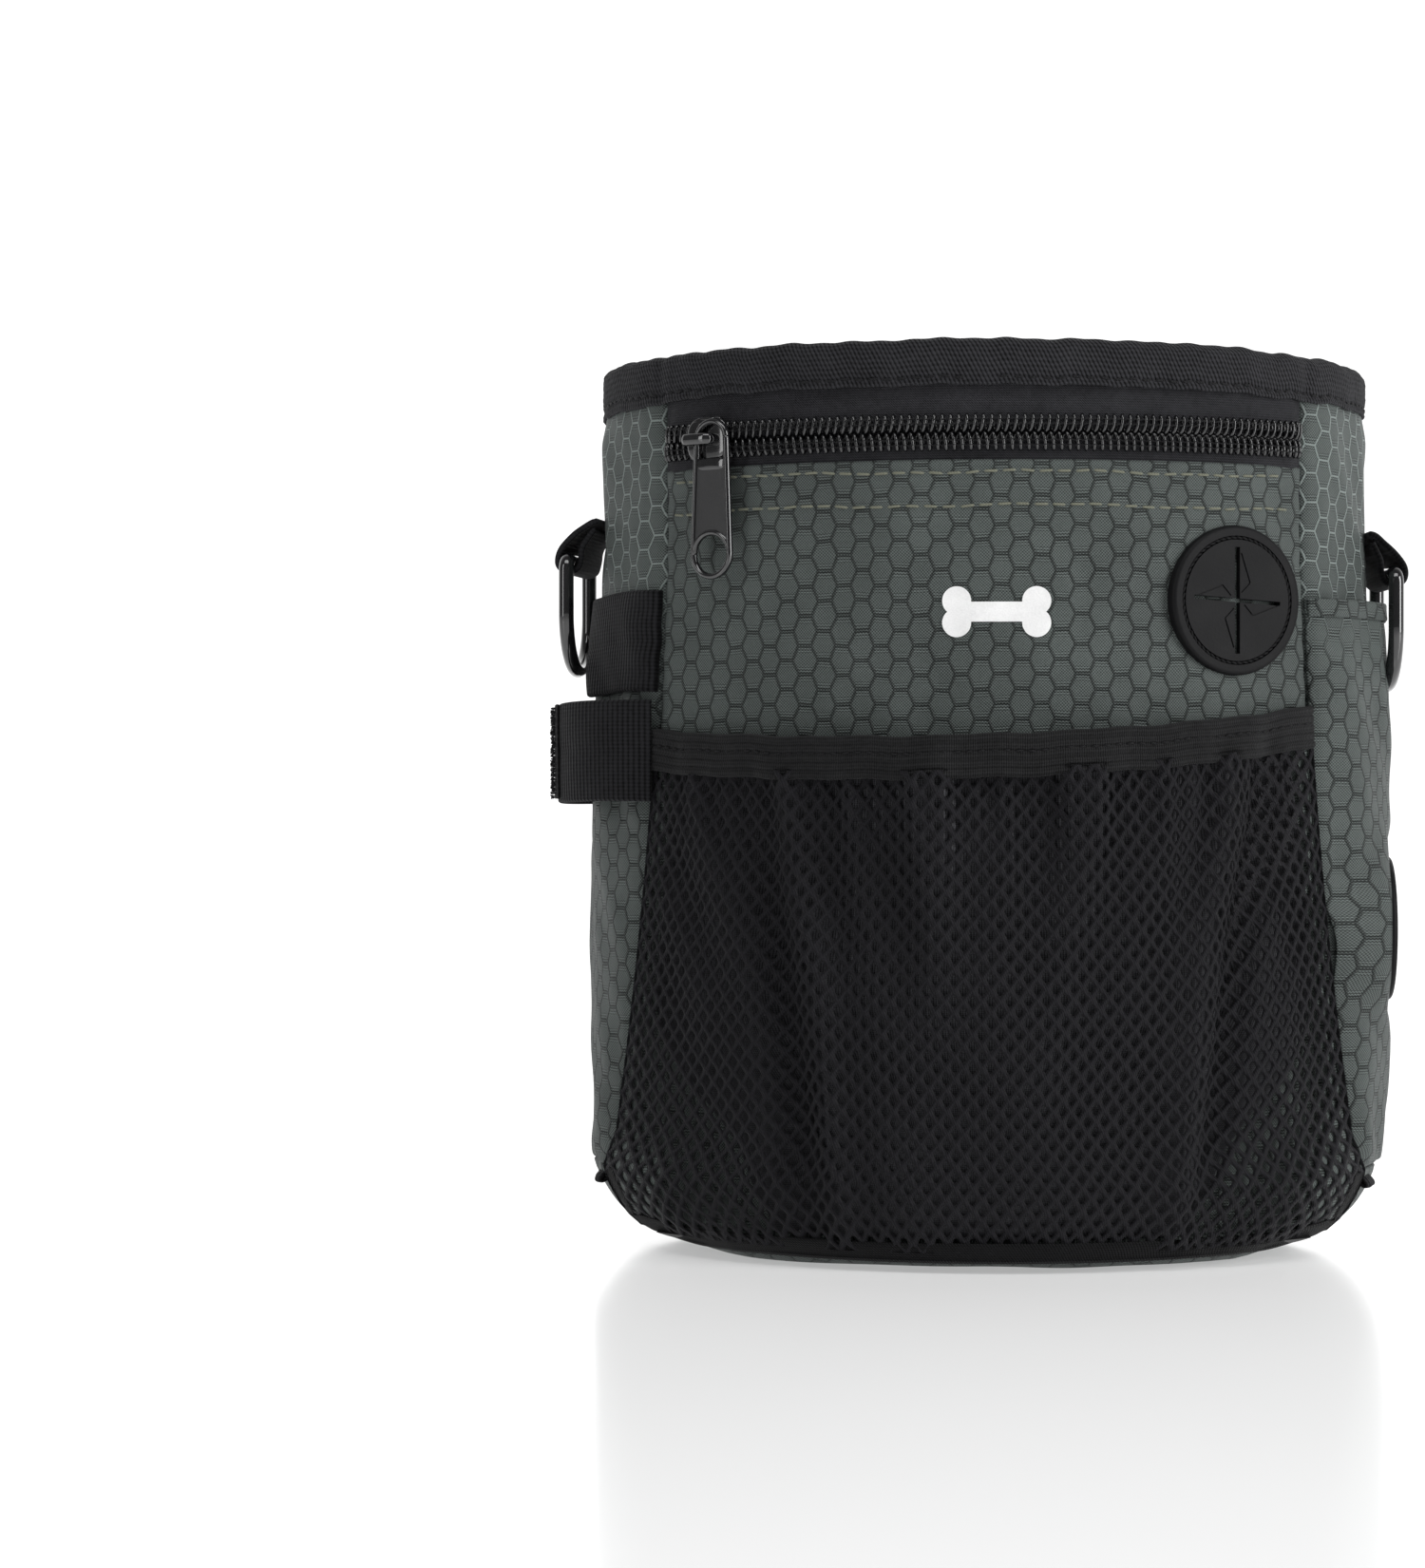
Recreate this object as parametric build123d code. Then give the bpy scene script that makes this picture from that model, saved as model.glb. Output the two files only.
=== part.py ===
from build123d import *
from functools import cache
from math import asin, atan2, cos, degrees, pi, radians, sin, sqrt
import os

os.makedirs("parts", exist_ok=True)

# Treat pouch with a zipped front pocket, a net pocket and a belt clip.
# Frame: origin on the floor under the middle of the base, +Z up, the zip faces -Y. Millimetres.

# ---------------------------------------------------------------- driving dimensions
RIM_HEIGHT = 188.0          # rim at the middle of the front
RIM_DROP_AT_SIDES = 2.0     # the rim is slightly arched
FRONT_Y = -37.0             # foremost line of the front panel
FRONT_RADIUS = 104.0        # the front panel is an arc in plan
SEAM_HALF = 68.0            # front seams, half their distance
HALF_WIDTH = 84.0           # widest place of the gussets
BACK_CORNER_RADIUS = 14.0
BACK_SEAM_HALF = 66.0
BOTTOM_CORNER_RADIUS = 24.0  # seen from the front
BOTTOM_EDGE_RADIUS = 8.0     # seen in section
SIDE_LIMIT = 84.5
RIM_HALF_WIDTH = 80.8        # the sides lean in between the two taper heights
TAPER_START = 95.0
TAPER_END = 145.0

MAGNET = 1.2
MAGNET_HALF = 12.0
MAGNET_Z = (164.5, 173.5)
MAGNET_SLACK = 0.3
MAGNET_COVER = 0.4
STAY = 0.8                  # springy strips in the rim
STAY_HALF = 60.0
STAY_MARGIN = 0.7
STAY_GAP = 0.1
SEAM_TAB = (1.4, 7.0, 4.4)
SEAM_TAB_PLACE = (81.6, 6.0, 15.0)
SEAM_TAB_LEAN = 50.0        # degrees

FABRIC = 1.6                # coated fabric with its foam
GUSSET = 2.6
POCKET_BACK = (3.2, 4.0)    # insets of the zip pocket's rear wall
LINING = (4.0, 4.8)
BINDING = 0.9
BINDING_HEIGHT = 9.8
RIM_FOLD = 0.8

PANEL_TOP = 163.1           # folded edge of the front panel, under the zip
PANEL_BOTTOM = 7.0
GUSSET_BOTTOM = 17.0

ZIP_Z = 168.5
ZIP_SLOT = 1.2              # between the two rows
ZIP_ROW = 3.05              # height of one row
ZIP_PITCH = 1.65
ZIP_TOOTH = 0.95
ZIP_END_ANGLE = 38.5
TAPE = (0.95, 1.55)         # insets of the tapes
COIL_OUT = 1.05             # how far the coils stand out of the body surface
TAPE_HIDDEN = 9.0
TAPE_TOP = 184.0
TAPE_MARGIN = 3.0           # the tapes end this far from the seams

SLIDER_X = -55.0
SLIDER_LENGTH = 10.0
PLATE_GAP = 0.3
PLATE = 1.2
FLANGE = 0.75
BACK_PLATE = 0.9
POST = 0.7
POST_LENGTH = 2.0
BAIL_THICK = 1.2
BAIL_WIDTH = 3.2
BAIL_LEG = 1.6
BAIL_FOOT = 2.2             # along the slider: the foot that the puller's eye hangs on
BAIL_FAR = -4.4

PULL = 1.6
PULL_GAP = 0.15             # under and over the puller
EYE_INNER = 2.9
EYE_OUTER = 4.3
EYE_FLAT = -4.6             # lower end of the eye's opening
PULL_END = 5.2
PULL_LENGTH = 23.6          # from the eye's centre to the end ring's centre
PULL_HOLE = (7.6, 8.6)      # width and height of the hole in the end ring
FIELD = (-7.4, -17.6)       # the sunk field, from top to bottom
FIELD_HALF = (3.2, 3.8)
FIELD_DEPTH = 0.4

PORT_X = 51.1
PORT_Z = 135.2
PORT_RADIUS = 15.2
PORT_PROUD = 1.2
PORT_NECK = 3.2             # the neck in the wall's hole is this much smaller than the rim
DISC_RADIUS = 12.3
GROOVE_RADIUS = 13.1
GROOVE_DEPTH = 0.8
SLIT_UP = (1.2, 21.6)       # width and length of the upright slit
SLIT_ACROSS = (0.8, 20.6)
SLIT_LEAN = -3.0            # degrees
SLIT_DEPTH = 2.6
STAR_LINE = (0.35, 0.5)     # width and height of the cut that draws the star
STAR_FACET = [(0.9, 9.6), (3.0, 3.6), (0.9, 1.6)]
SIDE_PORT_Y = 14.0
SIDE_PORT_Z = 67.5

MESH_BULGE_Y = -44.0
MESH = 1.0
MESH_TOP = 99.0
MESH_LOW = 30.0
MESH_FOOT = 3.0
ELASTIC = 1.6
ELASTIC_TOP = 107.6

STRAP = 1.5
UPPER_STRAP_Z = (117.0, 138.2)
LOWER_STRAP_Z = (94.0, 115.2)
HOOKS = 1.1
HOOKS_Y = (9.0, 33.0)

RING_WIRE = 1.6
RING_HALF = 11.9
RING_DROP = 23.4
RING_CORNER = 2.4
LEFT_RING_X = 87.3          # bars of the rings
RIGHT_RING_X = 86.2
RING_Y = 20.0
LEFT_RING_TURN = 6.0        # the rings look this far backwards, degrees
RIGHT_RING_TURN = 4.0
TAB_WIDTH = 20.0
TAB_THICK = 1.4
TAB_RISE = 9.0              # the tabs reach this far above the rings' bars
LEFT_RING_Z = 146.0
RIGHT_RING_Z = 142.5

POCKET_X = 84.3             # flat outer wall of the side pocket
POCKET_WALL = 1.0
POCKET_TOP = 136.2
POCKET_HEM = 3.6

CLIP_PLATE = 2.0
CLIP_GAP = 7.0
CLIP_HALF = 14.0
CLIP_Z = (76.0, 141.0)
CLIP_SLOTS = (84.8, 110.8)
CLIP_STRAP_HALF = 12.0
CLIP_TAILS = (18.0, 20.0)   # the strap's sewn ends, below and above the slots
HINGE_CUT = 0.3

BONE_X = 3.0                # the print
BONE_Z = 132.5
BONE_HALF = 8.0
BONE_BAR = 4.0
BONE_KNOB = 2.9
BONE_SPREAD = 2.2
BONE_PROUD = 0.25

CLEAR = 300.0               # larger than the pouch, for cutting blocks

# ---------------------------------------------------------------- derived places
ARC_Y = FRONT_Y + FRONT_RADIUS
SEAM_ANGLE = asin(SEAM_HALF / FRONT_RADIUS)
SIDE_RADIUS = (HALF_WIDTH - SEAM_HALF) / (1 - sin(SEAM_ANGLE))
SIDE_X = HALF_WIDTH - SIDE_RADIUS
WIDE_Y = ARC_Y - FRONT_RADIUS * cos(SEAM_ANGLE) + SIDE_RADIUS * cos(SEAM_ANGLE)
CORNER_X = HALF_WIDTH - BACK_CORNER_RADIUS
BACK_Y = WIDE_Y + BACK_CORNER_RADIUS
SLIDER_ANGLE = asin(SLIDER_X / FRONT_RADIUS)
PORT_ANGLE = asin(PORT_X / FRONT_RADIUS)


# ---------------------------------------------------------------- body surface
def arc_about(center, radius, start, end):
    """Arc in plan about a centre, from one angle to the other, in radians."""
    middle = (start + end) / 2
    points = [(center[0] + radius * cos(a), center[1] + radius * sin(a)) for a in (start, middle, end)]
    return ThreePointArc(*points)


def plan_face(inset):
    """Plan of the pouch, moved inwards: front arc, two side arcs, two corners and the flat back."""
    front = arc_about((0, ARC_Y), FRONT_RADIUS - inset, -pi / 2 - SEAM_ANGLE, -pi / 2 + SEAM_ANGLE)
    right = arc_about((SIDE_X, WIDE_Y), SIDE_RADIUS - inset, -pi / 2 + SEAM_ANGLE, 0)
    right_corner = arc_about((CORNER_X, WIDE_Y), BACK_CORNER_RADIUS - inset, 0, pi / 2)
    back = Line((CORNER_X, BACK_Y - inset), (-CORNER_X, BACK_Y - inset))
    left_corner = arc_about((-CORNER_X, WIDE_Y), BACK_CORNER_RADIUS - inset, pi / 2, pi)
    left = arc_about((-SIDE_X, WIDE_Y), SIDE_RADIUS - inset, pi, 3 * pi / 2 - SEAM_ANGLE)
    return make_face([front, right, right_corner, back, left_corner, left])


def front_block(face, y_low=-CLEAR, y_high=CLEAR):
    """Extrudes a face drawn as (x, z) through a range of Y."""
    return extrude(Plane.XZ.offset(-y_high) * face, amount=y_high - y_low)


def outline_face(inset):
    """Front view of the pouch, moved inwards and left open upwards."""
    corner = BOTTOM_CORNER_RADIUS
    x = SIDE_LIMIT - corner
    radius = corner - inset
    side = SIDE_LIMIT - inset
    high = RIM_HEIGHT + corner
    top = RIM_HALF_WIDTH - inset
    right = [
        arc_about((x, corner), radius, -pi / 2, 0),
        Line((side, corner), (side, TAPER_START)),
        Line((side, TAPER_START), (top, TAPER_END)),
        Line((top, TAPER_END), (top, high)),
    ]
    left = [mirror(edge, Plane.YZ) for edge in right]
    across = [Line((-x, inset), (x, inset)), Line((-top, high), (top, high))]
    return make_face(right + left + across)


@cache
def body(inset):
    """Everything inside the pouch's surface moved inwards by inset, open upwards."""
    edge = BOTTOM_EDGE_RADIUS
    turn = (edge - inset) * sqrt(0.5)
    high = RIM_HEIGHT + edge
    levels = [(inset, edge), (edge - turn, edge - turn), (edge, inset), (high, inset)]
    stack = loft([Pos(0, 0, z) * plan_face(i) for z, i in levels], ruled=True)
    return stack & front_block(outline_face(inset))


def shell(outer, inner):
    return body(outer) - body(inner)


@cache
def below_rim(drop):
    """Everything lower than the arched rim line moved down by drop."""
    side = RIM_HEIGHT - RIM_DROP_AT_SIDES - drop
    arch = ThreePointArc((-SIDE_LIMIT, side), (0, RIM_HEIGHT - drop), (SIDE_LIMIT, side))
    far = Polyline([(SIDE_LIMIT, side), (CLEAR, side), (CLEAR, -CLEAR), (-CLEAR, -CLEAR), (-CLEAR, side),
                    (-SIDE_LIMIT, side)])
    return front_block(make_face([arch, *far.edges()]))


def block(x, y, z):
    """Box between the given ranges."""
    size = [high - low for low, high in (x, y, z)]
    middle = [(low + high) / 2 for low, high in (x, y, z)]
    return Pos(*middle) * Box(*size)


@cache
def front_region():
    """The part of space whose wall is the front panel: inside both front seams."""
    high = RIM_HEIGHT + BOTTOM_EDGE_RADIUS
    seam_top = (SEAM_HALF - 1.5, RIM_HEIGHT)
    seam_low = (SEAM_HALF + 9.0, PANEL_BOTTOM + 18.0)
    right = [
        Line((seam_top[0], high), seam_top),
        ThreePointArc(seam_top, (SEAM_HALF + 2.6, RIM_HEIGHT * 0.4), seam_low),
        Line(seam_low, (SEAM_HALF + 12.0, GUSSET_BOTTOM)),
        Line((SEAM_HALF + 12.0, GUSSET_BOTTOM), (SEAM_HALF + 2.0, PANEL_BOTTOM)),
    ]
    left = [mirror(edge, Plane.YZ) for edge in right]
    across = [
        Line((-seam_top[0], high), (seam_top[0], high)),
        Line((-SEAM_HALF - 2.0, PANEL_BOTTOM), (SEAM_HALF + 2.0, PANEL_BOTTOM)),
    ]
    return front_block(make_face(right + left + across), -CLEAR, WIDE_Y)


@cache
def back_region():
    return block((-BACK_SEAM_HALF, BACK_SEAM_HALF), (WIDE_Y, CLEAR), (PANEL_BOTTOM, CLEAR))


def on_front(angle, z):
    """Frame on the front arc: X along the arc, Y up, Z out of the pouch."""
    out = (sin(angle), -cos(angle), 0)
    along = (cos(angle), sin(angle), 0)
    spot = (FRONT_RADIUS * sin(angle), ARC_Y - FRONT_RADIUS * cos(angle), z)
    return Plane(origin=spot, x_dir=along, z_dir=out).location


PORT_FRAME = on_front(PORT_ANGLE, PORT_Z)
SIDE_PORT_SPOT = (POCKET_X + POCKET_WALL, SIDE_PORT_Y, SIDE_PORT_Z)
SIDE_PORT_FRAME = Plane(origin=SIDE_PORT_SPOT, x_dir=(0, 1, 0), z_dir=(1, 0, 0)).location
SLIDER_FRAME = on_front(SLIDER_ANGLE, ZIP_Z)


# ---------------------------------------------------------------- sewn shell
def front_panel():
    panel = shell(0, FABRIC) & front_region() & below_rim(RIM_HEIGHT - PANEL_TOP)
    tape_seat = shell(TAPE[0] - 0.05, FABRIC) - below_rim(RIM_HEIGHT - PANEL_TOP + TAPE_HIDDEN)
    port_hole = PORT_FRAME * Cylinder(PORT_RADIUS - 3, 4 * FABRIC)
    return panel - tape_seat - port_hole


def zip_pocket_back():
    return shell(*POCKET_BACK) & front_region() & below_rim(RIM_FOLD)


def gusset(side):
    rest = shell(0, GUSSET) - front_region() - back_region()
    half = block(sorted((0, side * CLEAR)), (-CLEAR, CLEAR), (GUSSET_BOTTOM, CLEAR))
    return rest & below_rim(RIM_FOLD) & half


def bottom_panel():
    rest = shell(0, GUSSET) - front_region() - back_region()
    return rest & block((-CLEAR, CLEAR), (-CLEAR, CLEAR), (-1, GUSSET_BOTTOM))


def back_panel():
    return shell(0, FABRIC) & back_region() & below_rim(RIM_FOLD)


def magnet_window(margin, y_low, y_high):
    half, low, high = MAGNET_HALF + margin, MAGNET_Z[0] - margin, MAGNET_Z[1] + margin
    return block((-half, half), (y_low, y_high), (low, high))


def back_foam():
    pad = shell(FABRIC, LINING[0]) & back_region() & below_rim(RIM_FOLD + BINDING_HEIGHT)
    return pad - magnet_window(MAGNET_SLACK, 0, CLEAR)


def mouth_magnet_back():
    return shell(FABRIC + MAGNET_COVER, LINING[0] - MAGNET_COVER) & magnet_window(0, 0, CLEAR)


def mouth_magnet_front():
    """Flexible magnet strip in a sleeve on the rear wall of the zip pocket, inside the lining."""
    return shell(LINING[1], LINING[1] + MAGNET) & magnet_window(0, -CLEAR, 0)


def base_board():
    return body(GUSSET) & block((-CLEAR, CLEAR), (-CLEAR, CLEAR), (0, LINING[0]))


def lining_bag():
    return shell(*LINING) & below_rim(RIM_FOLD)


def rim_stay(side):
    """Springy strip in the rim's fold: side -1 is the front, side 1 the back."""
    reach = block((-STAY_HALF, STAY_HALF), sorted((0, side * CLEAR)), (-CLEAR, CLEAR))
    strip = below_rim(RIM_FOLD + STAY_MARGIN) - below_rim(BINDING_HEIGHT - STAY_MARGIN)
    return shell(FABRIC + STAY_GAP, FABRIC + STAY_GAP + STAY) & reach & strip


def rim_binding():
    band = shell(-BINDING, LINING[1] + BINDING) & (below_rim(0) - below_rim(BINDING_HEIGHT))
    filling = shell(0, LINING[1]) & below_rim(RIM_FOLD)
    return band - filling


def bottom_seam_tabs():
    tabs = []
    for side in (-1, 1):
        x, y, z = SEAM_TAB_PLACE
        tab = Pos(side * x, y, z) * Rot(0, side * SEAM_TAB_LEAN, 0) * Box(*SEAM_TAB)
        tabs.append(tab - body(0))
    return Compound(children=tabs)


# ---------------------------------------------------------------- zip
def zip_tape(side):
    """side 1 is the upper tape, side -1 the lower."""
    near = ZIP_Z + side * ZIP_SLOT / 2
    far = TAPE_TOP if side > 0 else PANEL_TOP - TAPE_HIDDEN + 1
    half = SEAM_HALF - TAPE_MARGIN
    return shell(*TAPE) & block((-half, half), (-CLEAR, 0), sorted((near, far)))


def zip_coil(side):
    """One row of coil loops, each a small block, following the front arc."""
    count = int(radians(2 * ZIP_END_ANGLE) * FRONT_RADIUS / ZIP_PITCH)
    depth = COIL_OUT + TAPE[0] - 0.02
    z = ZIP_Z + side * (ZIP_SLOT + ZIP_ROW) / 2
    loops = []
    for index in range(count):
        angle = (index - (count - 1) / 2) * ZIP_PITCH / FRONT_RADIUS + side * ZIP_PITCH / 4 / FRONT_RADIUS
        loops.append(on_front(angle, z) * Pos(0, 0, COIL_OUT - depth / 2) * Box(ZIP_TOOTH, ZIP_ROW, depth))
    return Compound(children=loops)


PULL_LOW = PLATE_GAP + COIL_OUT + PLATE + PULL_GAP   # underside of the puller


def slider_bail(high):
    """Bridge that the puller hangs in, standing on the plate's face at height high."""
    low = PULL_LOW + PULL + PULL_GAP
    middle, run = (BAIL_FOOT + BAIL_FAR) / 2, BAIL_FOOT - BAIL_FAR
    bar = Pos(middle, 0, low + BAIL_THICK / 2) * Box(run + BAIL_LEG, BAIL_WIDTH, BAIL_THICK)
    bar = fillet(bar.edges().filter_by(Axis.Y).group_by(Axis.Z)[-1], 0.8)
    tall = low - high + PULL_GAP
    near = Pos(BAIL_FOOT, 0, high + tall / 2) * Box(BAIL_LEG, 2.0, tall)
    far = Pos(BAIL_FAR, 0, high + tall / 2) * Box(BAIL_LEG, BAIL_WIDTH, tall)
    return bar + near + far


def zipper_slider():
    """Front plate with flanges, a post through the slot, a back plate and the bail."""
    inner = ZIP_SLOT / 2 + ZIP_ROW + PLATE_GAP
    outer = inner + FLANGE
    low = COIL_OUT + PLATE_GAP
    high = low + PLATE
    front = Pos(0, 0, (low + high) / 2) * Box(SLIDER_LENGTH, 2 * outer, PLATE)
    front = fillet(front.edges().filter_by(Axis.Z), 2.4)
    front = chamfer(front.faces().sort_by(Axis.Z)[-1].edges(), 0.35)
    flange_low = -TAPE[0] + 0.35
    for side in (-1, 1):
        flange = Pos(0, side * (inner + outer) / 2, (flange_low + high) / 2)
        front += flange * Box(SLIDER_LENGTH - 4.6, outer - inner, high - flange_low - 0.4)
    back_top = -TAPE[1] - 0.25
    back = Pos(0, 0, back_top - BACK_PLATE / 2) * Box(SLIDER_LENGTH - 1, 2 * outer - 1.6, BACK_PLATE)
    back = fillet(back.edges().filter_by(Axis.Z), 2.0)
    post_tall = low - back_top + 0.4
    post_spot = Pos(-SLIDER_LENGTH / 2 + 1.6, 0, (back_top + low) / 2)
    post = post_spot * Box(POST_LENGTH, POST, post_tall)
    return SLIDER_FRAME * (front + post + back + slider_bail(high))


def zipper_puller():
    """Long tab: eye at the top, a sunk field between raised edges and an oval hole at the end."""
    top = ThreePointArc((-EYE_OUTER, 0), (0, EYE_OUTER), (EYE_OUTER, 0))
    end = ThreePointArc((PULL_END, -PULL_LENGTH), (0, -PULL_LENGTH - PULL_END), (-PULL_END, -PULL_LENGTH))
    sides = [Line((EYE_OUTER, 0), (PULL_END, -PULL_LENGTH)), Line((-PULL_END, -PULL_LENGTH), (-EYE_OUTER, 0))]
    plate = extrude(make_face([top, sides[0], end, sides[1]]), PULL)
    plate = fillet(plate.edges().group_by(Axis.Z)[-1], 0.35)
    narrow, wide, shoulder = EYE_INNER / 2, EYE_INNER, EYE_FLAT + 1.4
    eye = extrude(make_face([
        ThreePointArc((-wide, 0), (0, wide), (wide, 0)),
        Polyline([
            (wide, 0), (wide, shoulder), (narrow, EYE_FLAT), (-narrow, EYE_FLAT), (-wide, shoulder), (-wide, 0),
        ]),
    ]), PULL)
    slot = Rot(0, 0, 90) * SlotCenterToCenter(PULL_HOLE[1] - PULL_HOLE[0], PULL_HOLE[0])
    hole = extrude(Pos(0, 0.7 - PULL_LENGTH) * slot, PULL)
    upper, lower = FIELD
    small, large = FIELD_HALF
    field_outline = make_face([
        ThreePointArc((-small, upper), (0, upper + 1), (small, upper)),
        Line((small, upper), (large, lower)),
        ThreePointArc((large, lower), (0, lower - 0.6), (-large, lower)),
        Line((-large, lower), (-small, upper)),
    ])
    sunk = extrude(field_outline, FIELD_DEPTH)
    plate = plate - eye - hole - sunk - Pos(0, 0, PULL - FIELD_DEPTH) * sunk
    return SLIDER_FRAME * Pos(BAIL_FOOT, 0, PULL_LOW) * plate


# ---------------------------------------------------------------- rubber ports
def star_lines():
    """Cutters for the star drawn beside the slits: one bent line in each quarter."""
    lines = []
    for edge in Polyline(STAR_FACET).edges():
        start, end = edge.position_at(0), edge.position_at(1)
        middle, run = (start + end) / 2, end - start
        line = Pos(middle.X, middle.Y, PORT_PROUD) * Rot(0, 0, degrees(atan2(run.Y, run.X)))
        lines.append(line * Box(run.length, *STAR_LINE))
    return [Rot(0, 0, 90 * quarter) * line for quarter in range(4) for line in lines]


def port(behind):
    """Round rubber port in its own axes: rim, sewn groove, and a disc with a cross slit and a star."""
    deep = 4.2
    flange = Pos(0, 0, (PORT_PROUD - deep) / 2) * Cylinder(PORT_RADIUS, PORT_PROUD + deep)
    flange = fillet(flange.edges().sort_by(Axis.Z)[-1], 0.9)
    ring = Cylinder(GROOVE_RADIUS, 2 * GROOVE_DEPTH) - Cylinder(DISC_RADIUS, 2 * GROOVE_DEPTH)
    flange -= Pos(0, 0, PORT_PROUD) * ring
    neck = Pos(0, 0, -PORT_NECK / 2) * Cylinder(PORT_RADIUS - PORT_NECK - 0.2, PORT_NECK)
    disc = (flange - behind) + (neck & behind)
    slit = Pos(0, 0, PORT_PROUD - 1)
    disc -= slit * Box(*SLIT_UP, SLIT_DEPTH)
    disc -= slit * Rot(0, 0, SLIT_LEAN) * Box(SLIT_ACROSS[1], SLIT_ACROSS[0], SLIT_DEPTH)
    for line in star_lines():
        disc -= line
    return disc


def front_port():
    return PORT_FRAME * port(PORT_FRAME.inverse() * body(0))


def side_port():
    room = 4 * PORT_RADIUS
    wall = Pos(0, 0, -POCKET_WALL / 2 - 3) * Box(room, room, POCKET_WALL + 6)
    keep = Pos(0, 0, 2) * Box(CLEAR, CLEAR, 4 + 2 * POCKET_WALL)
    return SIDE_PORT_FRAME * (port(wall) & keep)


# ---------------------------------------------------------------- pockets
def mesh_section(foremost, z):
    """Plan of the net pocket's bulge at height z: an arc from seam to seam."""
    reach, tuck = SEAM_HALF + 3, 18
    arc = ThreePointArc((-reach, FRONT_Y + 26), (0, foremost), (reach, FRONT_Y + 26))
    back = Polyline([(reach, FRONT_Y + 26), (reach, FRONT_Y + 26 + tuck), (-reach, FRONT_Y + 26 + tuck),
                     (-reach, FRONT_Y + 26)])
    return Pos(0, 0, z) * make_face([arc, *back.edges()])


def mesh_bulge(wall, low, high):
    """Solid behind the net's face moved inwards by wall."""
    levels = [(MESH_FOOT, FRONT_Y - 1.6), (MESH_LOW, MESH_BULGE_Y), (RIM_HEIGHT, MESH_BULGE_Y)]
    whole = loft([mesh_section(y + wall, z) for z, y in levels], ruled=True)
    return whole & block((-CLEAR, CLEAR), (-CLEAR, CLEAR), (low, high))


def mesh_pocket():
    low = MESH_FOOT + 3
    return (mesh_bulge(0, low, MESH_TOP) - mesh_bulge(MESH, low, MESH_TOP) - body(0)) & front_region()


def mesh_bottom_hem():
    return mesh_bulge(0, MESH_FOOT, MESH_FOOT + 3) - body(0)


def mesh_elastic_band():
    outer = mesh_bulge(-ELASTIC + MESH, MESH_TOP, ELASTIC_TOP)
    return (outer - mesh_bulge(MESH, MESH_TOP, ELASTIC_TOP) - body(0)) & front_region()


@cache
def pocket_section(grow):
    """Plan of the side pocket over the right gusset, grown outwards."""
    seam = (SEAM_HALF - 2, BACK_Y - 50.0)
    front = ThreePointArc(seam, (POCKET_X - 5.4, 0.0), (POCKET_X, 10.0))
    flat = Line((POCKET_X, 10.0), (POCKET_X, 26.0))
    back = ThreePointArc((POCKET_X, 26.0), (POCKET_X - 4.6, 33.2), (BACK_SEAM_HALF + 2, BACK_Y + 0.4))
    inner = SEAM_HALF - 22
    inside = Polyline([(BACK_SEAM_HALF + 2, BACK_Y + 0.4), (inner, BACK_Y), (inner, seam[1]), seam])
    section = make_face([front, flat, back, *inside.edges()])
    return offset(section, grow, kind=Kind.INTERSECTION) if grow else section


def pocket_solid(grow):
    """Everything inside the side pocket's wall grown outwards, leaning in with the gusset."""
    return extrude(pocket_section(grow), RIM_HEIGHT) & front_block(outline_face(-grow))


def side_pocket_wall(inner, outer, low, high):
    wall = pocket_solid(outer) - pocket_solid(inner) - body(0) - front_region() - back_region()
    wall = wall & block((SEAM_HALF - 2, CLEAR), (-CLEAR, CLEAR), (low, high))
    return max(wall.solids(), key=lambda solid: solid.volume)


def side_pocket_panel():
    hole = SIDE_PORT_FRAME * Cylinder(PORT_RADIUS - 3, 6)
    return side_pocket_wall(0, POCKET_WALL, GUSSET_BOTTOM + 8, POCKET_TOP) - hole


def side_pocket_hem():
    return side_pocket_wall(POCKET_WALL, POCKET_WALL + 0.6, POCKET_TOP - POCKET_HEM, POCKET_TOP)


# ---------------------------------------------------------------- straps and rings
def left_side(z_range):
    """Space beside the left gusset, between its two seams."""
    return block((-CLEAR, -BACK_SEAM_HALF), (-CLEAR, CLEAR), z_range) - front_region()


def left_strap_upper():
    return shell(-STRAP, 0) & left_side(UPPER_STRAP_Z)


STRAP_FRONT = (-SEAM_HALF - 0.3, -12.2)
STRAP_OUT = (-89.0, 13.0)
STRAP_BACK = (-74.0, 35.6)


def strap_loop_face(grow, start, out, end):
    """Plan of everything within the arc of the loose strap, grown outwards."""
    mid = ((start[0] + end[0]) / 2, (start[1] + end[1]) / 2)
    moved = []
    for point in (start, out, end):
        run = (point[0] - mid[0] - 8, point[1] - mid[1])
        length = sqrt(run[0] ** 2 + run[1] ** 2)
        moved.append((point[0] + grow * run[0] / length, point[1] + grow * run[1] / length))
    arc = ThreePointArc(*moved)
    tail = Polyline([moved[2], (-40, moved[2][1]), (-40, moved[0][1]), moved[0]])
    return make_face([arc, *tail.edges()])


def strap_loop(inner, outer, z_range):
    faces = [strap_loop_face(grow, STRAP_FRONT, STRAP_OUT, STRAP_BACK) for grow in (outer, inner)]
    big, small = [extrude(Pos(0, 0, z_range[0]) * face, z_range[1] - z_range[0]) for face in faces]
    loop = ((big - small) & left_side(z_range)) - body(0)
    return max(loop.solids(), key=lambda solid: solid.volume)


def left_strap_lower():
    return strap_loop(0, STRAP, LOWER_STRAP_Z)


def left_strap_hook_patch():
    """Hook fabric sewn on the outside of the loose strap's rear half."""
    low, high = LOWER_STRAP_Z
    patch = strap_loop(STRAP, STRAP + HOOKS, (low + 0.4, high - 0.6))
    return patch & block((-CLEAR, 0), HOOKS_Y, (0, CLEAR))


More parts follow.
